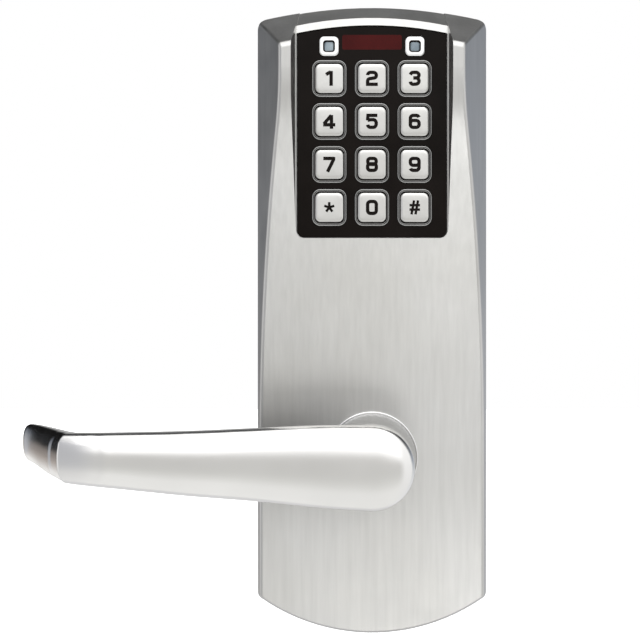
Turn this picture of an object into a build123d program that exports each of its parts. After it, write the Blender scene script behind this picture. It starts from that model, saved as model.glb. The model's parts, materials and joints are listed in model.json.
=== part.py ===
from build123d import *
from math import acos, asin, cos, degrees, radians, sin, sqrt, tan
import os

# Outside trim of a keypad door lock, with its lever.
# Origin: spindle axis where it crosses the door face. +X to the right seen from
# outside, +Y into the door, +Z up. "Depth" below is the distance out from the
# door face, so a depth d lies at Y = -d. All sizes in millimetres.

# Outline of the trim
PLATE_HALF_WIDTH = 38.0
PLATE_TOP_Z = 149.5
PLATE_BOTTOM_Z = -58.5
TOP_ARC_R = 161.0
BOTTOM_ARC_R = 64.5
TOP_CORNER_R = 4.0
BOTTOM_CORNER_R = 3.0
TOP_CENTRE_Z = PLATE_TOP_Z - TOP_ARC_R
BOTTOM_CENTRE_Z = PLATE_BOTTOM_Z + BOTTOM_ARC_R

# Front surface of the housing
RIM_DEPTH = 14.5
LOW_FRONT_DEPTH = 16.7
SWELL_START_Z = 5.0
SWELL_END_Z = 108.0
SWELL_R = 400.0
CREST_R = 73.7
SIDE_LEAN = radians(24)
TOP_LEAN = radians(33)
FORM_DEPTH = 36.0
WALL = 2.2
RIDGE_R = 1.3
CREST_ROLL_R = 2.6
HOUSING_BACK = 1.0
CAVITY_CEILING = 18.0

# Sunken keypad panel
PANEL_HALF_WIDTH = 24.6
PANEL_BOTTOM_Z = 72.7
PANEL_TOP_Z = 142.1
PANEL_ARC_R = 118.0
PANEL_CENTRE_Z = PANEL_TOP_Z - PANEL_ARC_R
PANEL_CORNER_R = 2.3
PANEL_TOP_CORNER_R = 0.5
PANEL_GAP = 0.2
PANEL_BACK = 19.8
PANEL_FRONT = 22.2
RECESS_FLOOR_HALF = 24.9
RECESS_DRAFT = 7.0
RECESS_BOTTOM_Z = 72.2
LIP_DEPTH = 22.8
LIP_OUTER_DEPTH = 21.4
LIP_WIDTH = 2.6
SLOPE_FOOT_R = 125.9
SLOPE_FOOT_DEPTH = 13.4
LEDGE_HALF_WIDTH = 22.8
LEDGE_BOTTOM_Z = 75.0
LEDGE_TOP_Z = 139.0

# Keys
KEY_PITCH_X = 14.0
KEY_PITCH_Z = 14.1
KEY_TOP_ROW_Z = 124.8
KEY_NAMES = [["1", "2", "3"], ["4", "5", "6"], ["7", "8", "9"], ["star", "0", "hash"]]
CAP_WIDTH = 9.4
CAP_HEIGHT = 9.8
CAP_CORNER_R = 1.8
CAP_FRONT = 23.4
CAP_EDGE_R = 0.7
CAP_GAP = 0.2
KEY_FLANGE_WIDTH = 10.8
KEY_FLANGE_HEIGHT = 11.2
KEY_FLANGE_BACK = 18.9
KEY_FLANGE_FRONT = 19.7
RIM_WIDTH = 11.3
RIM_HEIGHT = 12.1
RIM_CORNER_R = 2.7
RIM_FRONT = 22.8

# Indicators and window
INDICATOR_X = 14.1
INDICATOR_Z = 135.4
INDICATOR_SIZE = 6.5
INDICATOR_CORNER_R = 1.6
INDICATOR_BACK = 20.6
INDICATOR_FRONT = 23.0
LENS_SIZE = 3.9
LENS_CORNER_R = 1.0
LENS_FRONT = 22.5
WINDOW_WIDTH = 19.6
WINDOW_HEIGHT = 4.85
WINDOW_Z = 136.8
WINDOW_CORNER_R = 0.7
WINDOW_BACK = 21.0

# Keypad sandwich
WEB_HALF_WIDTH = 21.0
WEB_BOTTOM_Z = 75.6
WEB_TOP_Z = 131.5
WEB_BACK = 16.4
WEB_FRONT = 17.0
PAD_R = 3.0
PAD_FRONT = 17.8
DOME_R = 2.4
DOME_CROWN_R = 1.3
DOME_RISE = 0.3
DOME_SHEET = 0.1
DOME_POCKET_R = 2.6
DOME_POCKET_FRONT = 16.85
BOARD_BACK = 14.8
KEY_BOARD_TOP_Z = 139.0
BOSS_X = KEY_PITCH_X / 2
BOSS_R = 1.8
BOSS_CLEARANCE_R = 2.1
SMALL_SCREW_R = 0.8
SMALL_HEAD_R = 1.6
SMALL_HEAD = 1.2
SMALL_SCREW_TIP = 18.8

# Control board
CONTROL_HALF_WIDTH = 26.0
CONTROL_BOTTOM_Z = 85.0
CONTROL_TOP_Z = 135.0
CONTROL_BACK = 8.0
CONTROL_FRONT = 9.6
PILLAR_X = 23.6
PILLAR_ROWS_Z = (88.0, 131.8)
PILLAR_R = 2.3
PILLAR_SCREW_TIP = 14.0

# Batteries
CELL_R = 5.25
CELL_LENGTH = 44.5
CELL_PITCH = 11.2
CELL_FIRST_Z = 34.0
CELL_COUNT = 4
CELL_DEPTH = 8.9
TRAY_HALF_WIDTH = 26.2
TRAY_BOTTOM_Z = 28.0
TRAY_TOP_Z = 73.4
TRAY_FRONT = 12.4
TRAY_POCKET_R = 5.45
TRAY_POCKET_HALF = 23.6
CONTACT_THICKNESS = 0.5
CONTACT_WIDTH = 6.0
CONTACT_HEIGHT = 7.0
CONTACT_DIMPLE_R = 1.5
CELL_NUB_R = 1.9
CELL_NUB_LENGTH = 1.0
CELL_EDGE_R = 0.6

# Back plate and fixings
BACK_PLATE_INSET = 2.5
BACK_PLATE_FRONT = 3.0
GASKET_INSET = 0.6
GASKET_INNER_INSET = 4.0
PLATE_SCREW_X = 30.6
PLATE_SCREW_ROWS_Z = (-36.0, 79.1, 141.0)
PLATE_SCREW_R = 1.5
PLATE_SCREW_HEAD_R = 3.0
PLATE_SCREW_TIP = 10.5
PLATE_BOSS_R = 5.4
POST_Z = 20.0
POST_R = 4.0
POST_TIP_Y = 35.0
POST_THREAD_R = 2.1
POST_THREAD_LENGTH = 26.0
STUD_Z = 141.0
STUD_R = 3.0
STUD_SHOULDER_R = 3.2
STUD_TIP_Y = 45.0
POINT_CHAMFER = 0.6

# Lever drive
TUBE_R = 8.5
TUBE_BORE_R = 6.5
TUBE_FRONT = 46.0
TUBE_END_Y = 14.0
BUSHING_R = 11.5
BUSHING_BORE_R = 8.55
BUSHING_BACK = 11.5
WASHER_FRONT = 17.05
WASHER_R = 14.4
CAM_BACK = 9.0
CAM_FRONT = 11.1
CAM_HUB_R = 13.0
CAM_LUG_R = 22.4
CAM_LUG_HALF_ANGLE = 8.0
CAM_TAB_HALF_ANGLE = 5.0
CAM_TAB_BACK = 4.2
STOP_RADIUS = 20.5
STOP_ANGLE = 63.5
STOP_PIN_R = 2.0
STOP_PIN_FRONT = 11.6
RING_BACK = 7.7
RING_R = 10.2
RING_GAP = 5.0
SPRING_WIRE_R = 0.6
SPRING_COIL_R = 11.6
SPRING_PITCH = 1.3
SPRING_TURNS = 2.0
SPRING_BACK = 4.2

# Spindle and clutch
SPINDLE_SIDE = 8.0
SPINDLE_FRONT = 12.0
SPINDLE_TIP_Y = 55.0
DRIVER_R = 6.45
DRIVER_END_Y = 13.0
PIN_R = 1.5
PIN_Y = 8.0
PIN_TIP_RADIUS = 4.6
PIN_HEAD_RADIUS = 8.9
PIN_FLAT_R = 0.5
PIN_HOLE_R = 1.6
COLLAR_BORE_R = 9.0
COLLAR_R = 13.0
COLLAR_FRONT_Y = 5.0
COLLAR_END_Y = 12.0
COLLAR_CONE_RISE = 2.6
SOLENOID_X = 18.0
SOLENOID_R = 5.0
SOLENOID_FRONT_Y = 15.0
SOLENOID_END_Y = 29.2
PLUNGER_R = 2.0
PLUNGER_BORE_R = 2.08
PLUNGER_END_Y = 24.0
ARM_FRONT_Y = 5.6
ARM_END_Y = 8.6
ARM_END_R = 3.0
COVER_R = 15.4
COVER_BULGE_R = 6.8
COVER_END_Y = 31.0
COVER_WALL = 1.2
COVER_HOLE_R = 7.0

# Lever handle
NECK_BASE_DEPTH = 17.2
NECK_RIM_R = 15.3
NECK_RIM_WIDTH = 0.9
NECK_FOOT_R = 14.7
NECK_FRONT_R = 13.2
NECK_SHOULDER_DEPTH = 57.5
NECK_FACE_DEPTH = 64.2
NECK_FACE_R = 7.0
ARM_DEPTH = 58.0
ARM_ROUNDING = 0.42
BEND_START_X = -89.5
BEND_R = 6.0
BEND_ANGLE = 63.5
RETURN_LENGTH = 44.5
TIP_ROLL_R = 1.6
SET_SCREW_DEPTH = 32.0
SET_SCREW_R = 2.5
SET_SCREW_SOCKET_R = 1.35
SET_SCREW_SOCKET_DEPTH = 2.5
NECK_RIM_TAPER = 0.3
NECK_SHOULDER_BULGE = 1.15


def front_plane(depth):
    """Plane parallel to the door, its normal pointing out of the door."""
    return Plane.XZ.offset(depth)


def finish(piece, label):
    """Name a finished piece and write it to its own file."""
    piece.label = label
    export_step(piece, f"parts/{label}.step")


def plate_outline(inset):
    """Flat outline of the trim moved in by inset, with its four rounded corners."""
    half = PLATE_HALF_WIDTH - inset
    top_r = TOP_ARC_R - inset
    bottom_r = BOTTOM_ARC_R - inset
    top_side_z = TOP_CENTRE_Z + sqrt(top_r**2 - half**2)
    bottom_side_z = BOTTOM_CENTRE_Z - sqrt(bottom_r**2 - half**2)
    top_middle = (0, TOP_CENTRE_Z + top_r)
    bottom_middle = (0, BOTTOM_CENTRE_Z - bottom_r)
    with BuildSketch(Plane.XY) as outline:
        with BuildLine():
            Line((-half, bottom_side_z), (-half, top_side_z))
            ThreePointArc((-half, top_side_z), top_middle, (half, top_side_z))
            Line((half, top_side_z), (half, bottom_side_z))
            ThreePointArc((half, bottom_side_z), bottom_middle, (-half, bottom_side_z))
        make_face()
        rows = outline.vertices().group_by(Axis.Y)
        fillet(rows[-1], max(TOP_CORNER_R - inset, 0.5))
        rows = outline.vertices().group_by(Axis.Y)
        fillet(rows[0], max(BOTTOM_CORNER_R - inset, 0.5))
    return outline.sketch


def lean_start(lean, inset):
    """Depth at which a leaning face, moved in by inset, leaves the straight wall."""
    return RIM_DEPTH - inset * (1 / cos(lean) - 1) / tan(lean)


def arched_block(inset):
    """Plate outline pulled in by inset, cut by the leaning sides and the leaning top."""
    side_depth = lean_start(SIDE_LEAN, inset)
    top_depth = lean_start(TOP_LEAN, inset)
    half = PLATE_HALF_WIDTH - inset
    narrow_half = half - (FORM_DEPTH - side_depth) * tan(SIDE_LEAN)
    top_r = TOP_ARC_R - inset
    narrow_top_r = top_r - (FORM_DEPTH - top_depth) * tan(TOP_LEAN)
    with BuildPart() as top_limit:
        with BuildSketch(Plane.YZ):
            with Locations((0, TOP_CENTRE_Z)):
                Polygon(
                    (5, 0),
                    (5, top_r),
                    (-top_depth, top_r),
                    (-FORM_DEPTH, narrow_top_r),
                    (-FORM_DEPTH, 0),
                    align=None,
                )
        revolve(axis=Axis((0, 0, TOP_CENTRE_Z), (0, 1, 0)))
    outline = plate_outline(inset)
    with BuildPart() as block:
        with BuildSketch(front_plane(HOUSING_BACK)):
            add(outline)
        extrude(amount=FORM_DEPTH - HOUSING_BACK)
        with BuildSketch(Plane.XY.offset(PLATE_BOTTOM_Z - 1)):
            Polygon(
                (-half, 5),
                (-half, -side_depth),
                (-narrow_half, -FORM_DEPTH),
                (narrow_half, -FORM_DEPTH),
                (half, -side_depth),
                (half, 5),
                align=None,
            )
        extrude(amount=PLATE_TOP_Z - PLATE_BOTTOM_Z + 2, mode=Mode.INTERSECT)
        add(top_limit.part, mode=Mode.INTERSECT)
    return block.part


def side_profile(low_depth, swell_r, swell_angle, crest_angle):
    """Side view of a solid whose front is flat low down and swells higher up."""
    bottom = PLATE_BOTTOM_Z - 2
    top = PLATE_TOP_Z + 2
    with BuildSketch(Plane.XY) as profile:
        with BuildLine():
            Line((-low_depth, bottom), (-low_depth, SWELL_START_Z))
            swell = JernArc((-low_depth, SWELL_START_Z), (0, 1), swell_r, swell_angle)
            end = swell @ 1
            if crest_angle:
                crest = JernArc(swell @ 1, swell % 1, CREST_R, -crest_angle)
                end = crest @ 1
            Line(end, (end.X, top))
            Line((end.X, top), (5, top))
            Line((5, top), (5, bottom))
            Line((5, bottom), (-low_depth, bottom))
        make_face()
    return profile.sketch


def panel_outline(grow):
    """Flat outline of the keypad panel with its arched top, grown by grow."""
    half = PANEL_HALF_WIDTH + grow
    arc_r = PANEL_ARC_R + grow
    bottom = PANEL_BOTTOM_Z - grow
    side_top = PANEL_CENTRE_Z + sqrt(arc_r**2 - half**2)
    with BuildSketch(Plane.XY) as panel:
        with BuildLine():
            Line((-half, side_top), (-half, bottom))
            Line((-half, bottom), (half, bottom))
            Line((half, bottom), (half, side_top))
            ThreePointArc((half, side_top), (0, PANEL_CENTRE_Z + arc_r), (-half, side_top))
        make_face()
        rows = panel.vertices().group_by(Axis.Y)
        fillet(rows[0], PANEL_CORNER_R + grow)
        rows = panel.vertices().group_by(Axis.Y)
        fillet(rows[-1], PANEL_TOP_CORNER_R)
    return panel.sketch


def key_place(row, column):
    """X and Z of the middle of a key."""
    return ((column - 1) * KEY_PITCH_X, KEY_TOP_ROW_Z - row * KEY_PITCH_Z)


def screw_solid(head_r, head_depth, shank_r, length, countersunk):
    """Screw along +Z with its head's top face at Z = 0 and its tip at Z = length."""
    socket_r = head_r * 0.45
    with BuildPart() as screw:
        with BuildSketch(Plane.XZ):
            if countersunk:
                Polygon(
                    (0, 0), (head_r, 0), (shank_r, head_depth), (shank_r, length), (0, length),
                    align=None,
                )
            else:
                Polygon(
                    (0, 0), (head_r, 0), (head_r, head_depth), (shank_r, head_depth),
                    (shank_r, length), (0, length), align=None,
                )
        revolve(axis=Axis.Z)
        with BuildSketch(Plane.XY):
            RegularPolygon(socket_r, 6)
        extrude(amount=head_depth * 0.55, mode=Mode.SUBTRACT)
    return screw.part


all_keys = [(row, column) for row in range(4) for column in range(3)]
key_centres = [key_place(row, column) for row, column in all_keys]
boss_centres = [
    (side * BOSS_X, KEY_TOP_ROW_Z - gap * KEY_PITCH_Z) for side in (-1, 1) for gap in (0.5, 2.5)
]
plate_screw_places = [(side * PLATE_SCREW_X, z) for side in (-1, 1) for z in PLATE_SCREW_ROWS_Z]
pillar_places = [(side * PILLAR_X, z) for side in (-1, 1) for z in PILLAR_ROWS_Z]
stop_places = [
    (side * STOP_RADIUS * sin(radians(STOP_ANGLE)), STOP_RADIUS * cos(radians(STOP_ANGLE)))
    for side in (-1, 1)
]

# ---------------------------------------------------------------- housing
swell_angle = degrees(asin((SWELL_END_Z - SWELL_START_Z) / SWELL_R))
cavity_low_depth = LOW_FRONT_DEPTH - WALL
cavity_angle = degrees(acos(1 - (CAVITY_CEILING - cavity_low_depth) / (SWELL_R + WALL)))
bevel_r = BOTTOM_ARC_R - (FORM_DEPTH - RIM_DEPTH) * tan(SIDE_LEAN)

with BuildPart() as bottom_bevel:
    with BuildSketch(Plane.YZ):
        with Locations((0, BOTTOM_CENTRE_Z)):
            Polygon(
                (-RIM_DEPTH, -BOTTOM_ARC_R),
                (-FORM_DEPTH, -bevel_r),
                (-FORM_DEPTH, -BOTTOM_ARC_R - 10),
                (-RIM_DEPTH, -BOTTOM_ARC_R - 10),
                align=None,
            )
    revolve(axis=Axis((0, 0, BOTTOM_CENTRE_Z), (0, 1, 0)))
    split(bisect_by=Plane.XY.offset(BOTTOM_CENTRE_Z - 20), keep=Keep.BOTTOM)

outer_block = arched_block(0)
inner_block = arched_block(WALL)
front_profile = side_profile(LOW_FRONT_DEPTH, SWELL_R, swell_angle, swell_angle)
cavity_profile = side_profile(cavity_low_depth, SWELL_R + WALL, cavity_angle, 0)
seat_outline = panel_outline(PANEL_GAP)

with BuildPart() as outer_form:
    add(outer_block)
    with BuildSketch(Plane.YZ.offset(-PLATE_HALF_WIDTH - 1)):
        add(front_profile)
    extrude(amount=2 * PLATE_HALF_WIDTH + 2, mode=Mode.INTERSECT)
    add(bottom_bevel.part, mode=Mode.SUBTRACT)
    crest = (
        outer_form.edges()
        .filter_by(GeomType.CIRCLE)
        .filter_by(lambda edge: edge.center().Y < -RIM_DEPTH - 10)
        .filter_by(lambda edge: edge.bounding_box().size.X > PLATE_HALF_WIDTH)
    )
    fillet(crest, CREST_ROLL_R)
    ridges = outer_form.edges().filter_by(
        lambda edge: edge.center().Y < -RIM_DEPTH - 0.6
        and abs(edge.center().X) > 20
        and edge.bounding_box().size.Z > 5
    )
    fillet(ridges, RIDGE_R)

with BuildPart() as cavity:
    add(inner_block)
    with BuildSketch(Plane.YZ.offset(-PLATE_HALF_WIDTH - 1)):
        add(cavity_profile)
    extrude(amount=2 * PLATE_HALF_WIDTH + 2, mode=Mode.INTERSECT)

# What stays below the sunken panel: level ground, the tilted lip, the steep top slope
with BuildPart() as lip_form:
    with BuildSketch(Plane.YZ):
        with Locations((0, PANEL_CENTRE_Z)):
            Polygon(
                (0, 0),
                (-LIP_DEPTH, 0),
                (-LIP_DEPTH, PANEL_ARC_R + PANEL_GAP),
                (-LIP_OUTER_DEPTH, PANEL_ARC_R + PANEL_GAP + LIP_WIDTH),
                (-SLOPE_FOOT_DEPTH, SLOPE_FOOT_R),
                (0, SLOPE_FOOT_R),
                align=None,
            )
    revolve(axis=Axis((0, 0, PANEL_CENTRE_Z), (0, 1, 0)))

recess_depth = FORM_DEPTH - PANEL_FRONT
recess_height = PLATE_TOP_Z + 10 - RECESS_BOTTOM_Z
with BuildPart() as recess:
    with BuildSketch(Plane.XY.offset(RECESS_BOTTOM_Z)):
        narrow = RECESS_FLOOR_HALF - (PANEL_FRONT - RIM_DEPTH) * tan(radians(RECESS_DRAFT))
        wide = RECESS_FLOOR_HALF + recess_depth * tan(radians(RECESS_DRAFT))
        Polygon(
            (-narrow, -RIM_DEPTH + 1),
            (narrow, -RIM_DEPTH + 1),
            (wide, -FORM_DEPTH),
            (-wide, -FORM_DEPTH),
            align=None,
        )
    extrude(amount=recess_height)
    add(lip_form.part, mode=Mode.SUBTRACT)

with BuildPart() as housing:
    add(outer_form.part)
    add(cavity.part, mode=Mode.SUBTRACT)
    # bosses for the back plate screws and the lever bushing, pillars for the control board
    with BuildSketch(front_plane(BACK_PLATE_FRONT)):
        with Locations(*plate_screw_places):
            Circle(PLATE_BOSS_R)
    extrude(amount=cavity_low_depth + 0.5 - BACK_PLATE_FRONT)
    with BuildSketch(front_plane(cavity_low_depth)):
        with Locations(*plate_screw_places[1:3], *plate_screw_places[4:]):
            Circle(PLATE_BOSS_R - 1.5)
    extrude(amount=CAVITY_CEILING + 0.5 - cavity_low_depth)
    with BuildSketch(front_plane(BUSHING_BACK)):
        Circle(BUSHING_R + 2)
    extrude(amount=cavity_low_depth + 0.5 - BUSHING_BACK)
    with BuildSketch(front_plane(CONTROL_FRONT)):
        with Locations(*pillar_places):
            Circle(PILLAR_R)
    extrude(amount=CAVITY_CEILING + 0.5 - CONTROL_FRONT)
    add(outer_block, mode=Mode.INTERSECT)
    # sunken panel seat
    add(recess.part, mode=Mode.SUBTRACT)
    with BuildSketch(front_plane(PANEL_BACK)):
        add(seat_outline)
    extrude(amount=LIP_DEPTH + 2 - PANEL_BACK, mode=Mode.SUBTRACT)
    with BuildSketch(front_plane(CAVITY_CEILING - 1)):
        with Locations((0, (LEDGE_BOTTOM_Z + LEDGE_TOP_Z) / 2)):
            RectangleRounded(2 * LEDGE_HALF_WIDTH, LEDGE_TOP_Z - LEDGE_BOTTOM_Z, 2)
    extrude(amount=PANEL_BACK + 1 - CAVITY_CEILING, mode=Mode.SUBTRACT)
    # spot face for the thrust washer, then the bores
    with BuildSketch(front_plane(LOW_FRONT_DEPTH)):
        Circle(WASHER_R + 0.2)
    extrude(amount=2, mode=Mode.SUBTRACT)
    with BuildSketch(front_plane(BUSHING_BACK - 1)):
        Circle(BUSHING_R)
    extrude(amount=LOW_FRONT_DEPTH + 2 - BUSHING_BACK, mode=Mode.SUBTRACT)
    with BuildSketch(front_plane(BACK_PLATE_FRONT)):
        with Locations(*plate_screw_places):
            Circle(PLATE_SCREW_R)
    extrude(amount=PLATE_SCREW_TIP - BACK_PLATE_FRONT, mode=Mode.SUBTRACT)
    with BuildSketch(front_plane(CONTROL_FRONT)):
        with Locations(*pillar_places):
            Circle(SMALL_SCREW_R)
    extrude(amount=PILLAR_SCREW_TIP - CONTROL_FRONT, mode=Mode.SUBTRACT)
finish(housing.part, "housing")

# ---------------------------------------------------------------- back plate and fixings
back_plate_outline = plate_outline(BACK_PLATE_INSET)
with BuildPart() as back_plate:
    with BuildSketch(front_plane(HOUSING_BACK)):
        add(back_plate_outline)
        with Locations((0, POST_Z), (0, -POST_Z)):
            Circle(POST_R, mode=Mode.SUBTRACT)
        with Locations((0, STUD_Z)):
            Circle(STUD_SHOULDER_R, mode=Mode.SUBTRACT)
        with Locations(*stop_places):
            Circle(STOP_PIN_R, mode=Mode.SUBTRACT)
        Circle(COVER_R, mode=Mode.SUBTRACT)
        with Locations((SOLENOID_X, 0)):
            Circle(COVER_BULGE_R, mode=Mode.SUBTRACT)
    extrude(amount=BACK_PLATE_FRONT - HOUSING_BACK)
    with Locations(front_plane(HOUSING_BACK)):
        with Locations(*plate_screw_places):
            Cone(
                PLATE_SCREW_HEAD_R,
                PLATE_SCREW_R,
                BACK_PLATE_FRONT - HOUSING_BACK,
                align=(Align.CENTER, Align.CENTER, Align.MIN),
                mode=Mode.SUBTRACT,
            )
finish(back_plate.part, "back_plate")

gasket_outer = plate_outline(GASKET_INSET)
gasket_inner = plate_outline(GASKET_INNER_INSET)
with BuildPart() as gasket:
    with BuildSketch(front_plane(0)):
        add(gasket_outer)
        add(gasket_inner, mode=Mode.SUBTRACT)
    extrude(amount=HOUSING_BACK)
finish(gasket.part, "gasket")

plate_screw = screw_solid(
    PLATE_SCREW_HEAD_R,
    BACK_PLATE_FRONT - HOUSING_BACK,
    PLATE_SCREW_R,
    PLATE_SCREW_TIP - HOUSING_BACK,
    countersunk=True,
)
with BuildPart() as back_plate_screws:
    with Locations(front_plane(HOUSING_BACK)):
        with Locations(*plate_screw_places):
            add(plate_screw)
finish(back_plate_screws.part, "back_plate_screws")

with BuildPart() as bolt_posts:
    with BuildSketch(front_plane(BACK_PLATE_FRONT)):
        with Locations((0, POST_Z), (0, -POST_Z)):
            Circle(POST_R)
    extrude(amount=-BACK_PLATE_FRONT - POST_TIP_Y)
    chamfer(bolt_posts.edges().group_by(Axis.Y)[-1], POINT_CHAMFER)
    with BuildSketch(Plane.XZ.offset(-POST_TIP_Y)):
        with Locations((0, POST_Z), (0, -POST_Z)):
            Circle(POST_THREAD_R)
    extrude(amount=POST_THREAD_LENGTH, mode=Mode.SUBTRACT)
finish(bolt_posts.part, "bolt_posts")

with BuildPart() as anchor_stud:
    with BuildSketch(front_plane(BACK_PLATE_FRONT)):
        with Locations((0, STUD_Z)):
            Circle(STUD_SHOULDER_R)
    extrude(amount=-BACK_PLATE_FRONT)
    with BuildSketch(front_plane(0)):
        with Locations((0, STUD_Z)):
            Circle(STUD_R)
    extrude(amount=-STUD_TIP_Y)
    chamfer(anchor_stud.edges().group_by(Axis.Y)[-1], POINT_CHAMFER)
finish(anchor_stud.part, "anchor_stud")

with BuildPart() as stop_pins:
    with BuildSketch(front_plane(HOUSING_BACK)):
        with Locations(*stop_places):
            Circle(STOP_PIN_R)
    extrude(amount=STOP_PIN_FRONT - HOUSING_BACK)
    chamfer(stop_pins.edges().group_by(Axis.Y)[0], 0.3)
finish(stop_pins.part, "stop_pins")

# ---------------------------------------------------------------- keypad panel
window_place = (0, WINDOW_Z)
indicator_places = [(-INDICATOR_X, INDICATOR_Z), (INDICATOR_X, INDICATOR_Z)]
key_board_height = KEY_BOARD_TOP_Z - WEB_BOTTOM_Z
key_board_centre = (0, (KEY_BOARD_TOP_Z + WEB_BOTTOM_Z) / 2)
bezel_outline = panel_outline(0)
with BuildPart() as keypad_bezel:
    with BuildSketch(front_plane(PANEL_BACK)):
        add(bezel_outline)
    extrude(amount=PANEL_FRONT - PANEL_BACK)
    fillet(keypad_bezel.edges().group_by(Axis.Y)[0], 0.3)
    with BuildSketch(front_plane(PANEL_FRONT - 0.5)):
        with Locations(*key_centres):
            RectangleRounded(RIM_WIDTH, RIM_HEIGHT, RIM_CORNER_R)
    extrude(amount=RIM_FRONT - PANEL_FRONT + 0.5)
    fillet(keypad_bezel.edges().group_by(Axis.Y)[0], 0.28)
    with BuildSketch(front_plane(BOARD_BACK + 1.6)):
        with Locations(*boss_centres):
            Circle(BOSS_R)
    extrude(amount=PANEL_BACK + 0.5 - WEB_BACK)
    with BuildSketch(front_plane(PANEL_BACK - 1)):
        with Locations(*key_centres):
            RectangleRounded(
                CAP_WIDTH + 2 * CAP_GAP, CAP_HEIGHT + 2 * CAP_GAP, CAP_CORNER_R + CAP_GAP
            )
        with Locations(*indicator_places):
            Rectangle(LENS_SIZE, LENS_SIZE)
        with Locations(window_place):
            Rectangle(WINDOW_WIDTH - 2, WINDOW_HEIGHT - 1.6)
    extrude(amount=RIM_FRONT - PANEL_BACK + 2, mode=Mode.SUBTRACT)
    with BuildSketch(front_plane(INDICATOR_BACK)):
        with Locations(*indicator_places):
            RectangleRounded(INDICATOR_SIZE, INDICATOR_SIZE, INDICATOR_CORNER_R)
    extrude(amount=PANEL_FRONT, mode=Mode.SUBTRACT)
    with BuildSketch(front_plane(WINDOW_BACK)):
        with Locations(window_place):
            RectangleRounded(WINDOW_WIDTH, WINDOW_HEIGHT, WINDOW_CORNER_R)
    extrude(amount=PANEL_FRONT, mode=Mode.SUBTRACT)
    with BuildSketch(front_plane(WEB_BACK)):
        with Locations(*boss_centres):
            Circle(SMALL_SCREW_R)
    extrude(amount=SMALL_SCREW_TIP - WEB_BACK, mode=Mode.SUBTRACT)
finish(keypad_bezel.part, "keypad_bezel")

with BuildPart() as indicator_rings:
    with BuildSketch(front_plane(INDICATOR_BACK)):
        with Locations(*indicator_places):
            RectangleRounded(INDICATOR_SIZE, INDICATOR_SIZE, INDICATOR_CORNER_R)
    extrude(amount=INDICATOR_FRONT - INDICATOR_BACK)
    fillet(indicator_rings.edges().group_by(Axis.Y)[0], 0.5)
    with BuildSketch(front_plane(INDICATOR_BACK)):
        with Locations(*indicator_places):
            RectangleRounded(LENS_SIZE, LENS_SIZE, LENS_CORNER_R)
    extrude(amount=INDICATOR_FRONT, mode=Mode.SUBTRACT)
finish(indicator_rings.part, "indicator_rings")

with BuildPart() as indicator_lenses:
    with BuildSketch(front_plane(INDICATOR_BACK)):
        with Locations(*indicator_places):
            RectangleRounded(LENS_SIZE, LENS_SIZE, LENS_CORNER_R)
    extrude(amount=LENS_FRONT - INDICATOR_BACK)
    fillet(indicator_lenses.edges().group_by(Axis.Y)[0], 0.4)
finish(indicator_lenses.part, "indicator_lenses")

with BuildPart() as status_window:
    with BuildSketch(front_plane(WINDOW_BACK)):
        with Locations(window_place):
            RectangleRounded(WINDOW_WIDTH, WINDOW_HEIGHT, WINDOW_CORNER_R)
    extrude(amount=PANEL_FRONT - WINDOW_BACK)
finish(status_window.part, "status_window")

with BuildPart() as key_membrane:
    with BuildSketch(front_plane(WEB_BACK)):
        with Locations((0, (WEB_TOP_Z + WEB_BOTTOM_Z) / 2)):
            RectangleRounded(2 * WEB_HALF_WIDTH, WEB_TOP_Z - WEB_BOTTOM_Z, 1.5)
        with Locations(*boss_centres):
            Circle(BOSS_CLEARANCE_R, mode=Mode.SUBTRACT)
    extrude(amount=WEB_FRONT - WEB_BACK)
    with BuildSketch(front_plane(WEB_FRONT)):
        with Locations(*key_centres):
            Circle(PAD_R)
    extrude(amount=PAD_FRONT - WEB_FRONT)
    with BuildSketch(front_plane(WEB_BACK)):
        with Locations(*key_centres):
            Circle(DOME_POCKET_R)
    extrude(amount=DOME_POCKET_FRONT - WEB_BACK, mode=Mode.SUBTRACT)
finish(key_membrane.part, "key_membrane")

with BuildPart() as dome:
    with BuildSketch(Plane.XZ):
        Polygon(
            (0, DOME_RISE),
            (DOME_CROWN_R, DOME_RISE),
            (DOME_R, DOME_SHEET),
            (DOME_R, 0),
            (DOME_R - 2 * DOME_SHEET, 0),
            (DOME_CROWN_R - DOME_SHEET, DOME_RISE - DOME_SHEET),
            (0, DOME_RISE - DOME_SHEET),
            align=None,
        )
    revolve(axis=Axis.Z)

with BuildPart() as snap_domes:
    with Locations(front_plane(WEB_BACK)):
        with Locations(*key_centres):
            add(dome.part)
finish(snap_domes.part, "snap_domes")

with BuildPart() as keypad_board:
    with BuildSketch(front_plane(BOARD_BACK)):
        with Locations(key_board_centre):
            RectangleRounded(2 * WEB_HALF_WIDTH, key_board_height, 1.0)
        with Locations(*boss_centres):
            Circle(SMALL_SCREW_R + 0.2, mode=Mode.SUBTRACT)
    extrude(amount=WEB_BACK - BOARD_BACK)
finish(keypad_board.part, "keypad_board")

keypad_screw = screw_solid(
    SMALL_HEAD_R, SMALL_HEAD, SMALL_SCREW_R, SMALL_SCREW_TIP - BOARD_BACK + SMALL_HEAD, False
)
with BuildPart() as keypad_screws:
    with Locations(front_plane(BOARD_BACK - SMALL_HEAD)):
        with Locations(*boss_centres):
            add(keypad_screw)
finish(keypad_screws.part, "keypad_screws")

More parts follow.
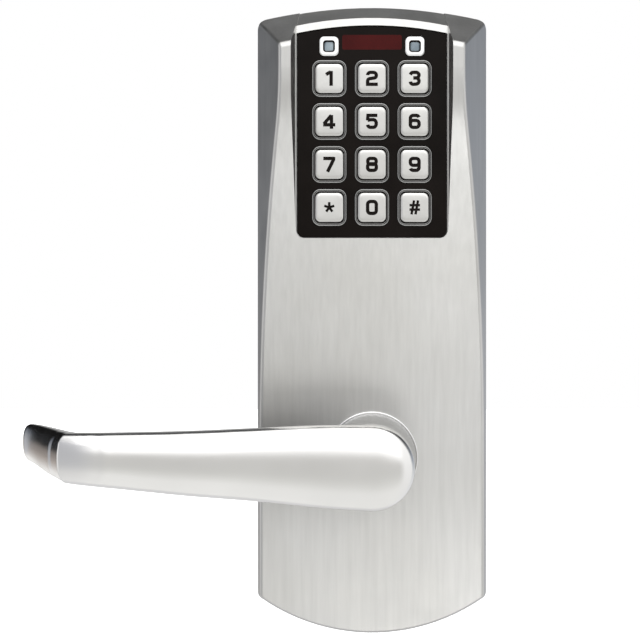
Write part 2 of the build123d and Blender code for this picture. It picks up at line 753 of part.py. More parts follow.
for row, column in all_keys:
    centre = key_place(row, column)
    with BuildPart() as key:
        with BuildSketch(front_plane(KEY_FLANGE_BACK)):
            with Locations(centre):
                RectangleRounded(KEY_FLANGE_WIDTH, KEY_FLANGE_HEIGHT, CAP_CORNER_R + 0.5)
        extrude(amount=KEY_FLANGE_FRONT - KEY_FLANGE_BACK)
        with BuildSketch(front_plane(KEY_FLANGE_BACK)):
            with Locations(centre):
                RectangleRounded(CAP_WIDTH, CAP_HEIGHT, CAP_CORNER_R)
        extrude(amount=CAP_FRONT - KEY_FLANGE_BACK)
        fillet(key.edges().group_by(Axis.Y)[0], CAP_EDGE_R)
    finish(key.part, f"key_{KEY_NAMES[row][column]}")

# ---------------------------------------------------------------- control board
with BuildPart() as control_board:
    with BuildSketch(front_plane(CONTROL_BACK)):
        with Locations((0, (CONTROL_TOP_Z + CONTROL_BOTTOM_Z) / 2)):
            RectangleRounded(2 * CONTROL_HALF_WIDTH, CONTROL_TOP_Z - CONTROL_BOTTOM_Z, 1.5)
        with Locations(*pillar_places):
            Circle(SMALL_SCREW_R + 0.2, mode=Mode.SUBTRACT)
    extrude(amount=CONTROL_FRONT - CONTROL_BACK)
finish(control_board.part, "control_board")

board_screw = screw_solid(
    SMALL_HEAD_R, SMALL_HEAD, SMALL_SCREW_R, PILLAR_SCREW_TIP - CONTROL_BACK + SMALL_HEAD, False
)
with BuildPart() as board_screws:
    with Locations(front_plane(CONTROL_BACK - SMALL_HEAD)):
        with Locations(*pillar_places):
            add(board_screw)
finish(board_screws.part, "board_screws")

# width, height, thickness, X and Z of each package on the front of the control board
PACKAGES = [
    (10.0, 10.0, 1.4, 4.0, 108.0),
    (6.0, 5.0, 1.2, -12.0, 112.0),
    (8.0, 3.2, 2.0, -14.0, 98.0),
    (5.0, 3.2, 1.0, 14.5, 98.0),
    (14.0, 4.2, 1.6, 0.0, 88.0),
    (4.4, 4.4, 2.4, 14.0, 120.0),
]
with BuildPart() as board_components:
    for width, height, thickness, x, z in PACKAGES:
        with BuildSketch(front_plane(CONTROL_FRONT)):
            with Locations((x, z)):
                RectangleRounded(width, height, 0.3)
        extrude(amount=thickness)
finish(board_components.part, "board_components")

BUZZER_PLACE = (-12.0, 124.0)
BUZZER_R = 6.0
BUZZER_HEIGHT = 4.0
BUZZER_PORT_R = 1.0
BUZZER_PORT_DEPTH = 0.8
with BuildPart() as buzzer:
    with BuildSketch(front_plane(CONTROL_BACK)):
        with Locations(BUZZER_PLACE):
            Circle(BUZZER_R)
    extrude(amount=-BUZZER_HEIGHT)
    fillet(buzzer.edges().group_by(Axis.Y)[-1], 0.4)
    with BuildSketch(front_plane(CONTROL_BACK - BUZZER_HEIGHT)):
        with Locations(BUZZER_PLACE):
            Circle(BUZZER_PORT_R)
    extrude(amount=BUZZER_PORT_DEPTH, mode=Mode.SUBTRACT)
finish(buzzer.part, "buzzer")

RIBBON_HALF_WIDTH = 5.0
RIBBON_THICKNESS = 0.3
RIBBON_TOP_Z = 84.0
RIBBON_TURN_Z = 79.0
RIBBON_END_Z = 85.9
RIBBON_BEND_R = 1.2
RIBBON_INNER_DEPTH = 10.8
ribbon_outer_y = -BOARD_BACK + RIBBON_THICKNESS / 2 + 0.01
with BuildPart() as flex_cable:
    with BuildSketch(Plane.YZ.offset(-RIBBON_HALF_WIDTH)):
        with BuildLine() as ribbon_path:
            FilletPolyline(
                (ribbon_outer_y, RIBBON_TOP_Z),
                (ribbon_outer_y, RIBBON_TURN_Z),
                (-RIBBON_INNER_DEPTH, RIBBON_TURN_Z),
                (-RIBBON_INNER_DEPTH, RIBBON_END_Z),
                radius=RIBBON_BEND_R,
            )
        trace(ribbon_path.line, line_width=RIBBON_THICKNESS)
    extrude(amount=2 * RIBBON_HALF_WIDTH)
finish(flex_cable.part, "flex_cable")

# ---------------------------------------------------------------- batteries
cell_rows_z = [CELL_FIRST_Z + i * CELL_PITCH for i in range(CELL_COUNT)]
cell_places = [(-CELL_DEPTH, z) for z in cell_rows_z]
with BuildPart() as battery_tray:
    with BuildSketch(front_plane(BACK_PLATE_FRONT)):
        with Locations((0, (TRAY_TOP_Z + TRAY_BOTTOM_Z) / 2)):
            RectangleRounded(2 * TRAY_HALF_WIDTH, TRAY_TOP_Z - TRAY_BOTTOM_Z, 1.5)
    extrude(amount=TRAY_FRONT - BACK_PLATE_FRONT)
    with BuildSketch(Plane.YZ.offset(-TRAY_POCKET_HALF)):
        with Locations(*cell_places):
            Circle(TRAY_POCKET_R)
        with Locations(*[(-CELL_DEPTH - TRAY_POCKET_R / 2, z) for z in cell_rows_z]):
            Rectangle(TRAY_POCKET_R, 2 * TRAY_POCKET_R)
    extrude(amount=2 * TRAY_POCKET_HALF, mode=Mode.SUBTRACT)
finish(battery_tray.part, "battery_tray")

with BuildPart() as battery_cells:
    with BuildSketch(Plane.YZ.offset(-CELL_LENGTH / 2)):
        with Locations(*cell_places):
            Circle(CELL_R)
    extrude(amount=CELL_LENGTH - CELL_NUB_LENGTH)
    fillet(battery_cells.edges().filter_by(GeomType.CIRCLE), CELL_EDGE_R)
    with BuildSketch(Plane.YZ.offset(CELL_LENGTH / 2 - CELL_NUB_LENGTH)):
        with Locations(*cell_places):
            Circle(CELL_NUB_R)
    extrude(amount=CELL_NUB_LENGTH)
finish(battery_cells.part, "battery_cells")

contact_gap = TRAY_POCKET_HALF - CELL_LENGTH / 2
with BuildPart() as battery_contacts:
    for side in (-1, 1):
        outer_x = side * TRAY_POCKET_HALF
        with BuildSketch(Plane.YZ.offset(outer_x)):
            with Locations(*cell_places):
                Rectangle(CONTACT_WIDTH, CONTACT_HEIGHT)
        extrude(amount=-side * CONTACT_THICKNESS)
        with BuildSketch(Plane.YZ.offset(outer_x)):
            with Locations(*cell_places):
                Circle(CONTACT_DIMPLE_R)
        extrude(amount=-side * contact_gap)
finish(battery_contacts.part, "battery_contacts")

# ---------------------------------------------------------------- lever drive
with BuildPart() as lever_bushing:
    with BuildSketch(front_plane(BUSHING_BACK)):
        Circle(BUSHING_R)
        Circle(BUSHING_BORE_R, mode=Mode.SUBTRACT)
    extrude(amount=LOW_FRONT_DEPTH - BUSHING_BACK)
finish(lever_bushing.part, "lever_bushing")

with BuildPart() as thrust_washer:
    with BuildSketch(front_plane(LOW_FRONT_DEPTH)):
        Circle(WASHER_R)
        Circle(BUSHING_BORE_R + 0.2, mode=Mode.SUBTRACT)
    extrude(amount=WASHER_FRONT - LOW_FRONT_DEPTH)
finish(thrust_washer.part, "thrust_washer")

with BuildPart() as drive_tube:
    with BuildSketch(front_plane(-TUBE_END_Y)):
        Circle(TUBE_R)
        Circle(TUBE_BORE_R, mode=Mode.SUBTRACT)
    extrude(amount=TUBE_END_Y + TUBE_FRONT)
    with BuildSketch(Plane.YZ):
        with Locations((PIN_Y, 0)):
            Circle(PIN_HOLE_R)
    extrude(amount=TUBE_R + 1, mode=Mode.SUBTRACT)
finish(drive_tube.part, "drive_tube")


def fan(inner_r, outer_r, half_angle):
    """Flat sector of a ring, centred on the upward direction."""
    left = radians(90 + half_angle)
    right = radians(90 - half_angle)
    inner_left = (inner_r * cos(left), inner_r * sin(left))
    inner_right = (inner_r * cos(right), inner_r * sin(right))
    outer_left = (outer_r * cos(left), outer_r * sin(left))
    outer_right = (outer_r * cos(right), outer_r * sin(right))
    with BuildSketch(Plane.XY) as sector:
        with BuildLine():
            Line(inner_left, outer_left)
            ThreePointArc(outer_left, (0, outer_r), outer_right)
            Line(outer_right, inner_right)
            ThreePointArc(inner_right, (0, inner_r), inner_left)
        make_face()
    return sector.sketch


lug_sector = fan(CAM_HUB_R - 1, CAM_LUG_R, CAM_LUG_HALF_ANGLE)
tab_sector = fan(CAM_LUG_R - 4.4, CAM_LUG_R - 1.9, CAM_TAB_HALF_ANGLE)
with BuildPart() as return_cam:
    with BuildSketch(front_plane(CAM_BACK)):
        Circle(CAM_HUB_R)
        add(lug_sector)
        Circle(TUBE_R, mode=Mode.SUBTRACT)
    extrude(amount=CAM_FRONT - CAM_BACK)
    with BuildSketch(front_plane(CAM_TAB_BACK)):
        add(tab_sector)
    extrude(amount=CAM_FRONT - CAM_TAB_BACK)
finish(return_cam.part, "return_cam")

with BuildPart() as retaining_ring:
    with BuildSketch(front_plane(RING_BACK)):
        Circle(RING_R)
        Circle(TUBE_R, mode=Mode.SUBTRACT)
        with Locations((0, -TUBE_R)):
            Rectangle(RING_GAP, RING_R, mode=Mode.SUBTRACT)
    extrude(amount=CAM_BACK - RING_BACK)
finish(retaining_ring.part, "retaining_ring")

spring_height = SPRING_PITCH * SPRING_TURNS
with BuildPart() as return_spring:
    with BuildLine() as coil_path:
        Helix(
            SPRING_PITCH,
            spring_height,
            SPRING_COIL_R,
            center=(0, -SPRING_BACK, 0),
            direction=(0, -1, 0),
        )
    with BuildSketch(Plane(origin=coil_path.line @ 0, z_dir=coil_path.line % 0)):
        Circle(SPRING_WIRE_R)
    sweep(path=coil_path.line, is_frenet=True)
finish(return_spring.part, "return_spring")

set_screw_top = NECK_FRONT_R
with BuildPart() as lever_set_screw:
    with BuildSketch(Plane.XY.offset(-set_screw_top)):
        with Locations((0, -SET_SCREW_DEPTH)):
            Circle(SET_SCREW_R)
    extrude(amount=set_screw_top - TUBE_R - 0.02)
    with BuildSketch(Plane.XY.offset(-set_screw_top)):
        with Locations((0, -SET_SCREW_DEPTH)):
            RegularPolygon(SET_SCREW_SOCKET_R, 6)
    extrude(amount=SET_SCREW_SOCKET_DEPTH, mode=Mode.SUBTRACT)
finish(lever_set_screw.part, "lever_set_screw")

# ---------------------------------------------------------------- lever handle
# Straight stretch of the arm: X, top Z, bottom Z and thickness of each section
ARM_SECTIONS = [
    (-1.0, 13.0, -13.0, 11.6),
    (-26.0, 12.8, -11.2, 11.4),
    (-56.0, 11.6, -8.4, 11.0),
    (BEND_START_X, 10.9, -5.0, 9.8),
]
# Stretch through the bend: part of the bend angle, top Z, bottom Z and thickness
BEND_SECTIONS = [
    (0.5, 10.9, -4.6, 9.4),
    (1.0, 10.9, -4.5, 9.0),
]
# Stretch back towards the door: part of the return length, top Z, bottom Z and thickness
RETURN_SECTIONS = [
    (0.5, 11.1, -3.5, 7.2),
    (1.0, 11.1, -1.0, 5.6),
]
BEND_CENTRE = (BEND_START_X, -(ARM_DEPTH - BEND_R))


def arm_plane(x, y, turn):
    """Plane across the arm at a point of its centre line, after a turn towards the door."""
    heading = (-cos(turn), sin(turn), 0)
    outward = (-sin(turn), -cos(turn), 0)
    return Plane(origin=(x, y, 0), x_dir=outward, z_dir=heading)


def arm_station(share, stretch):
    """X, Y and turn of the centre line at a share of the bend or of the return."""
    turn = radians(BEND_ANGLE) * (share if stretch == "bend" else 1.0)
    x = BEND_CENTRE[0] - BEND_R * sin(turn)
    y = BEND_CENTRE[1] - BEND_R * cos(turn)
    if stretch == "return":
        x -= share * RETURN_LENGTH * cos(turn)
        y += share * RETURN_LENGTH * sin(turn)
    return x, y, turn


straight_run = [
    (arm_plane(x, -ARM_DEPTH, 0), top, low, thick) for x, top, low, thick in ARM_SECTIONS
]
bend_run = [straight_run[-1]]
for share, top, low, thick in BEND_SECTIONS:
    bend_run.append((arm_plane(*arm_station(share, "bend")), top, low, thick))
return_run = [bend_run[-1]]
for share, top, low, thick in RETURN_SECTIONS:
    return_run.append((arm_plane(*arm_station(share, "return")), top, low, thick))

with BuildPart() as lever_handle:
    for run in (straight_run, bend_run, return_run):
        for plane, top, low, thick in run:
            with BuildSketch(plane):
                with Locations((0, (top + low) / 2)):
                    RectangleRounded(thick, top - low, ARM_ROUNDING * thick)
        loft()
    fillet(lever_handle.faces().sort_by(Axis.X)[0].edges(), TIP_ROLL_R)
    with BuildSketch(Plane.YZ):
        with BuildLine():
            Line((-NECK_BASE_DEPTH, 0), (-NECK_BASE_DEPTH, NECK_RIM_R))
            Line((-NECK_BASE_DEPTH, NECK_RIM_R), (-NECK_BASE_DEPTH - NECK_RIM_WIDTH, NECK_RIM_R))
            Line(
                (-NECK_BASE_DEPTH - NECK_RIM_WIDTH, NECK_RIM_R),
                (-NECK_BASE_DEPTH - NECK_RIM_WIDTH - NECK_RIM_TAPER, NECK_FOOT_R),
            )
            Line(
                (-NECK_BASE_DEPTH - NECK_RIM_WIDTH - NECK_RIM_TAPER, NECK_FOOT_R),
                (-NECK_SHOULDER_DEPTH, NECK_FRONT_R),
            )
            shoulder_x = (NECK_SHOULDER_DEPTH + NECK_FACE_DEPTH) / 2 + NECK_SHOULDER_BULGE
            shoulder_z = (NECK_FRONT_R + NECK_FACE_R) / 2 + NECK_SHOULDER_BULGE
            ThreePointArc(
                (-NECK_SHOULDER_DEPTH, NECK_FRONT_R),
                (-shoulder_x, shoulder_z),
                (-NECK_FACE_DEPTH, NECK_FACE_R),
            )
            Line((-NECK_FACE_DEPTH, NECK_FACE_R), (-NECK_FACE_DEPTH, 0))
            Line((-NECK_FACE_DEPTH, 0), (-NECK_BASE_DEPTH, 0))
        make_face()
    revolve(axis=Axis.Y)
    with BuildSketch(front_plane(NECK_BASE_DEPTH)):
        Circle(TUBE_R)
    extrude(amount=TUBE_FRONT - NECK_BASE_DEPTH, mode=Mode.SUBTRACT)
    with BuildSketch(Plane.XY.offset(-NECK_RIM_R)):
        with Locations((0, -SET_SCREW_DEPTH)):
            Circle(SET_SCREW_R)
    extrude(amount=NECK_RIM_R - TUBE_R + 1, mode=Mode.SUBTRACT)
finish(lever_handle.part, "lever_handle")

# ---------------------------------------------------------------- spindle and clutch
with BuildPart() as spindle:
    with BuildSketch(front_plane(SPINDLE_FRONT)):
        Rectangle(SPINDLE_SIDE, SPINDLE_SIDE)
    extrude(amount=-SPINDLE_FRONT - SPINDLE_TIP_Y)
    chamfer(spindle.edges().filter_by(Axis.Y), 0.4)
    chamfer(spindle.edges().group_by(Axis.Y)[-1], 0.5)
finish(spindle.part, "spindle")

with BuildPart() as spindle_driver:
    with BuildSketch(front_plane(SPINDLE_FRONT)):
        Circle(DRIVER_R)
        Rectangle(SPINDLE_SIDE, SPINDLE_SIDE, mode=Mode.SUBTRACT)
    extrude(amount=-SPINDLE_FRONT - DRIVER_END_Y)
    with BuildSketch(Plane.YZ):
        with Locations((PIN_Y, 0)):
            Circle(PIN_HOLE_R)
    extrude(amount=DRIVER_R + 1, mode=Mode.SUBTRACT)
finish(spindle_driver.part, "spindle_driver")

pin_chamfer = PIN_R - PIN_FLAT_R
with BuildPart() as clutch_pin:
    with BuildSketch(Plane.YZ.offset(PIN_TIP_RADIUS)):
        with Locations((PIN_Y, 0)):
            Circle(PIN_R)
    extrude(amount=PIN_HEAD_RADIUS - PIN_TIP_RADIUS)
    chamfer(clutch_pin.edges().group_by(Axis.X)[-1], pin_chamfer)
    chamfer(clutch_pin.edges().group_by(Axis.X)[0], 0.2)
finish(clutch_pin.part, "clutch_pin")

# The cone starts at the near edge of the pin's flat end, so that the pin may rise
# exactly as far as the collar moves along the spindle.
cone_start_y = PIN_Y + PIN_FLAT_R
with BuildPart() as clutch_collar:
    with BuildSketch(Plane.YZ):
        Polygon(
            (COLLAR_FRONT_Y, COLLAR_BORE_R + COLLAR_CONE_RISE),
            (cone_start_y - COLLAR_CONE_RISE, COLLAR_BORE_R + COLLAR_CONE_RISE),
            (cone_start_y, COLLAR_BORE_R),
            (COLLAR_END_Y, COLLAR_BORE_R),
            (COLLAR_END_Y, COLLAR_R),
            (COLLAR_FRONT_Y, COLLAR_R),
            align=None,
        )
    revolve(axis=Axis.Y)
    with BuildSketch(Plane.XZ.offset(-ARM_FRONT_Y)):
        with Locations(((COLLAR_R + SOLENOID_X) / 2 - 0.5, 0)):
            Rectangle(SOLENOID_X - COLLAR_R + 1, 2 * ARM_END_R)
        with Locations((SOLENOID_X, 0)):
            Circle(ARM_END_R)
    extrude(amount=ARM_FRONT_Y - ARM_END_Y)
finish(clutch_collar.part, "clutch_collar")

with BuildPart() as solenoid_plunger:
    with BuildSketch(Plane.XZ.offset(-ARM_END_Y)):
        with Locations((SOLENOID_X, 0)):
            Circle(PLUNGER_R)
    extrude(amount=ARM_END_Y - PLUNGER_END_Y)
    chamfer(solenoid_plunger.edges().group_by(Axis.Y)[-1], 0.4)
finish(solenoid_plunger.part, "solenoid_plunger")

with BuildPart() as solenoid_body:
    with BuildSketch(Plane.XZ.offset(-SOLENOID_FRONT_Y)):
        with Locations((SOLENOID_X, 0)):
            Circle(SOLENOID_R)
            Circle(PLUNGER_BORE_R, mode=Mode.SUBTRACT)
    extrude(amount=SOLENOID_FRONT_Y - SOLENOID_END_Y)
    fillet(solenoid_body.edges().filter_by(GeomType.CIRCLE).group_by(Axis.Y)[-1], 0.4)
finish(solenoid_body.part, "solenoid_body")

with BuildPart() as clutch_cover:
    with BuildSketch(front_plane(BACK_PLATE_FRONT)):
        Circle(COVER_R)
        with Locations((SOLENOID_X, 0)):
            Circle(COVER_BULGE_R)
    extrude(amount=-BACK_PLATE_FRONT - COVER_END_Y)
    fillet(clutch_cover.edges().group_by(Axis.Y)[-1], 0.8)
    with BuildSketch(front_plane(BACK_PLATE_FRONT)):
        Circle(COVER_R - COVER_WALL)
        with Locations((SOLENOID_X, 0)):
            Circle(COVER_BULGE_R - COVER_WALL)
    extrude(amount=-BACK_PLATE_FRONT - COVER_END_Y + COVER_WALL, mode=Mode.SUBTRACT)
    with BuildSketch(Plane.XZ.offset(-COVER_END_Y)):
        Circle(COVER_HOLE_R)
    extrude(amount=COVER_WALL + 1, mode=Mode.SUBTRACT)
finish(clutch_cover.part, "clutch_cover")
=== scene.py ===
import json
import math

import bmesh
import bpy
import numpy as np
import openvdb
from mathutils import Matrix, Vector
from mathutils.geometry import delaunay_2d_cdt


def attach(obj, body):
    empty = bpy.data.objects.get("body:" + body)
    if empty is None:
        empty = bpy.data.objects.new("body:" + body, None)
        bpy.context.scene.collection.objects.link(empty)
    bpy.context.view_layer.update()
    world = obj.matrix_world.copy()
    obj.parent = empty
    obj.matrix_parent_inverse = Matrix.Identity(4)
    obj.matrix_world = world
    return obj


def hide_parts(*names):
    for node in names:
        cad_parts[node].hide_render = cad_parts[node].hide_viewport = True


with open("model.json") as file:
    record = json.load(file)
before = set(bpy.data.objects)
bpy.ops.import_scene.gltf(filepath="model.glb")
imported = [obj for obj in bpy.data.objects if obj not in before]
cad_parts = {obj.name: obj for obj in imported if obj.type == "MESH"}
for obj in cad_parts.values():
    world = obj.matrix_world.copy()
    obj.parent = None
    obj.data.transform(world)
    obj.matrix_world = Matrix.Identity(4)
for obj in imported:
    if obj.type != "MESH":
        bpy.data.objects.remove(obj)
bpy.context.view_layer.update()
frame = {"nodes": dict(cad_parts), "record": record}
NODES = frame["nodes"]
MM = 0.001

# ------------------------------------------------------------------ camera
CAMERA_DISTANCE = 0.580
CAMERA_HEIGHT = 0.0456
CAMERA_LENS = 95.56
CAMERA_SHIFT_X = -0.0812

# ------------------------------------------------------------------ floor
FLOOR_Z = -0.30
FLOOR_SIZE = 12.0
FLOOR_ROUGHNESS = 0.9
FLOOR_GLOW = 0.75


def link(obj):
    """Put a new object in the scene."""
    bpy.context.scene.collection.objects.link(obj)
    return obj


def mesh_object(name, verts, faces, smooth=True):
    """Make a mesh object from points in metres and faces."""
    mesh = bpy.data.meshes.new(name)
    mesh.from_pydata([tuple(v) for v in verts], [], [tuple(f) for f in faces])
    mesh.validate()
    mesh.update()
    for polygon in mesh.polygons:
        polygon.use_smooth = smooth
    return link(bpy.data.objects.new(name, mesh))


# ------------------------------------------------------------------ node helpers
class Shader:
    """A small wrapper round one material's node tree."""

    def __init__(self, name):
        self.material = bpy.data.materials.new(name)
        self.material.use_nodes = True
        self.nodes = self.material.node_tree.nodes
        self.links = self.material.node_tree.links
        self.bsdf = self.nodes["Principled BSDF"]

    def node(self, kind, **inputs):
        made = self.nodes.new(kind)
        for key, value in inputs.items():
            made.inputs[key.replace("_", " ")].default_value = value
        return made

    def join(self, source, target):
        self.links.new(source, target)

    def set(self, **values):
        for key, value in values.items():
            self.bsdf.inputs[key.replace("_", " ")].default_value = value

    def coordinates(self, scale=(1, 1, 1)):
        """Object coordinates, stretched by scale."""
        place = self.node("ShaderNodeTexCoord")
        mapping = self.node("ShaderNodeMapping")
        mapping.inputs["Scale"].default_value = scale
        self.join(place.outputs["Object"], mapping.inputs["Vector"])
        return mapping.outputs["Vector"]

    def noise(self, scale, detail=3.0, roughness=0.5, stretch=(1, 1, 1)):
        """Noise over the surface; returns its value socket."""
        noise = self.node("ShaderNodeTexNoise", Scale=scale, Detail=detail, Roughness=roughness)
        self.join(self.coordinates(stretch), noise.inputs["Vector"])
        return noise.outputs["Fac"]

    def ramp(self, value, stops):
        """Colour ramp over a value; stops are (position, colour)."""
        ramp = self.node("ShaderNodeValToRGB")
        self.join(value, ramp.inputs["Fac"])
        elements = ramp.color_ramp.elements
        while len(elements) < len(stops):
            elements.new(0.5)
        for element, (position, colour) in zip(elements, stops):
            element.position = position
            element.color = (*colour, 1.0)
        return ramp.outputs["Color"]

    def span(self, value, low, high):
        """Map a 0 to 1 value onto low to high."""
        ranged = self.node("ShaderNodeMapRange")
        ranged.inputs["From Min"].default_value = 0.25
        ranged.inputs["From Max"].default_value = 0.75
        ranged.inputs["To Min"].default_value = low
        ranged.inputs["To Max"].default_value = high
        self.join(value, ranged.inputs["Value"])
        return ranged.outputs["Result"]

    def limits(self, value, low, high):
        """0 below low, 1 above high."""
        ranged = self.node("ShaderNodeMapRange")
        ranged.inputs["From Min"].default_value = low
        ranged.inputs["From Max"].default_value = high
        self.join(value, ranged.inputs["Value"])
        return ranged.outputs["Result"]

    def maths(self, operation, first, second):
        """Math node; second is a socket or a number."""
        made = self.node("ShaderNodeMath")
        made.operation = operation
        self.join(first, made.inputs[0])
        if isinstance(second, float):
            made.inputs[1].default_value = second
        else:
            self.join(second, made.inputs[1])
        return made.outputs["Value"]

    def bump(self, height, distance, strength=1.0, below=None):
        """Bump from a height value; below is a bump that this one adds to."""
        bump = self.node("ShaderNodeBump", Distance=distance, Strength=strength)
        self.join(height, bump.inputs["Height"])
        if below is not None:
            self.join(below, bump.inputs["Normal"])
        self.join(bump.outputs["Normal"], self.bsdf.inputs["Normal"])
        return bump.outputs["Normal"]

    def colour_mix(self, first, second, factor=1.0, blend="MIX"):
        """Mix two colours; second and factor are sockets or plain values."""
        mixed = self.node("ShaderNodeMix")
        mixed.data_type = "RGBA"
        mixed.blend_type = blend
        self.join(first, mixed.inputs["A"])
        for key, value in (("B", second), ("Factor", factor)):
            if isinstance(value, bpy.types.NodeSocket):
                self.join(value, mixed.inputs[key])
            else:
                mixed.inputs[key].default_value = value
        return mixed.outputs["Result"]


# ------------------------------------------------------------------ materials
# Metal tones are linear colours; lengths in the bumps are metres
HOUSING_DARK = (0.56, 0.555, 0.536)
HOUSING_LIGHT = (0.63, 0.628, 0.618)
STREAK_DARK = (0.90, 0.90, 0.90)
STREAK_STRETCH = (1.0, 1.0, 0.05)
LEVER_DARK = (0.80, 0.793, 0.78)
LEVER_LIGHT = (0.86, 0.853, 0.84)
# Near-black colour painted on the lever as shade, behind and on the neck
LEVER_PAINTED_SHADE = (0.06, 0.059, 0.057, 1.0)
# Painted shade: the lever's colour turns near black where its normal points to the door, and partly dark on
# the neck at the hub
SHADE_FACING_Y = (0.35, 0.75)
NECK_SHADE_Y = (-0.0535, -0.0500)
NECK_SHADE_X = (-0.030, -0.026)
NECK_SHADE_SHARE = 0.62
BLACK_SPECULAR = 0.08


def mix_tones(shader, noise, dark, light):
    """Base colour that drifts between two tones."""
    tones = shader.ramp(noise, [(0.3, dark), (0.7, light)])
    shader.join(tones, shader.bsdf.inputs["Base Color"])


def satin_metal(name, dark, light, rough_low, rough_high, grain):
    """Metal with a fine grain, slow tone drift and uneven polish."""
    shader = Shader(name)
    shader.set(Metallic=1.0)
    mix_tones(shader, shader.noise(28.0, 4.0), dark, light)
    polish = shader.span(shader.noise(90.0, 5.0), rough_low, rough_high)
    shader.join(polish, shader.bsdf.inputs["Roughness"])
    coarse = shader.bump(shader.noise(900.0, 2.0), grain * 4.0, 0.35)
    shader.bump(shader.noise(5200.0, 2.0), grain, 0.5, below=coarse)
    return shader.material


def housing_metal(name):
    """Satin cover metal: fine upright streaks, slow drift of tone, even grain."""
    shader = Shader(name)
    shader.set(Metallic=1.0)
    drift = shader.ramp(shader.noise(22.0, 3.0), [(0.3, HOUSING_DARK), (0.7, HOUSING_LIGHT)])
    streak_value = shader.noise(700.0, 3.0, 0.6, stretch=STREAK_STRETCH)
    streaks = shader.ramp(streak_value, [(0.25, STREAK_DARK), (0.75, (1.0, 1.0, 1.0))])
    shader.join(shader.colour_mix(drift, streaks, blend="MULTIPLY"), shader.bsdf.inputs["Base Color"])
    polish = shader.span(shader.noise(90.0, 5.0), 0.32, 0.38)
    shader.join(polish, shader.bsdf.inputs["Roughness"])
    coarse = shader.bump(streak_value, 0.000010, 0.4)
    shader.bump(shader.noise(4200.0, 2.0), 0.000012, 0.5, below=coarse)
    return shader.material


def lever_metal(name):
    """Satin on the outside of the lever, with painted shade: its colour is darkened behind and on the neck.
    """
    shader = Shader(name)
    shader.set(Metallic=1.0)
    tones = shader.ramp(shader.noise(28.0, 4.0), [(0.3, LEVER_DARK), (0.7, LEVER_LIGHT)])
    place = shader.node("ShaderNodeTexCoord")
    facing = shader.node("ShaderNodeSeparateXYZ")
    shader.join(place.outputs["Normal"], facing.inputs[0])
    spot = shader.node("ShaderNodeSeparateXYZ")
    shader.join(place.outputs["Object"], spot.inputs[0])
    # Painted shade mask: faces turned to the door, and in part the neck behind the arm at the hub
    back_half = shader.limits(facing.outputs["Y"], *SHADE_FACING_Y)
    behind_arm = shader.limits(spot.outputs["Y"], *NECK_SHADE_Y)
    at_hub = shader.limits(spot.outputs["X"], *NECK_SHADE_X)
    neck = shader.maths("MULTIPLY", behind_arm, at_hub)
    neck_share = shader.maths("MULTIPLY", neck, NECK_SHADE_SHARE)
    painted_shade = shader.maths("MAXIMUM", back_half, neck_share)
    shader.join(shader.colour_mix(tones, LEVER_PAINTED_SHADE, painted_shade), shader.bsdf.inputs["Base Color"])
    polish = shader.span(shader.noise(90.0, 5.0), 0.17, 0.23)
    shader.join(polish, shader.bsdf.inputs["Roughness"])
    shader.bump(shader.noise(5200.0, 2.0), 0.000006, 0.5)
    return shader.material


def gloss_black(name):
    """Moulded gloss black plastic."""
    shader = Shader(name)
    shader.bsdf.inputs["Specular IOR Level"].default_value = BLACK_SPECULAR
    mix_tones(shader, shader.noise(60.0, 3.0), (0.0040, 0.0028, 0.0022), (0.0075, 0.0055, 0.0046))
    polish = shader.span(shader.noise(240.0, 3.0), 0.13, 0.20)
    shader.join(polish, shader.bsdf.inputs["Roughness"])
    shader.bump(shader.noise(420.0, 2.0), 0.00001, 0.3)
    return shader.material


def tinted_window(name):
    """Very dark red smoked window."""
    shader = Shader(name)
    shader.bsdf.inputs["Specular IOR Level"].default_value = BLACK_SPECULAR
    mix_tones(shader, shader.noise(90.0, 4.0), (0.036, 0.0040, 0.0040), (0.056, 0.0060, 0.0056))
    polish = shader.span(shader.noise(240.0, 3.0), 0.14, 0.22)
    shader.join(polish, shader.bsdf.inputs["Roughness"])
    shader.bump(shader.noise(420.0, 2.0), 0.00001, 0.3)
    return shader.material


def plastic(name, dark, light, rough, grain=0.00003, scale=1500.0):
    """Moulded plastic, rubber or resin with a fine matt grain."""
    shader = Shader(name)
    mix_tones(shader, shader.noise(120.0, 4.0), dark, light)
    polish = shader.span(shader.noise(300.0, 3.0), rough - 0.06, rough + 0.06)
    shader.join(polish, shader.bsdf.inputs["Roughness"])
    shader.bump(shader.noise(scale, 3.0), grain, 0.6)
    return shader.material


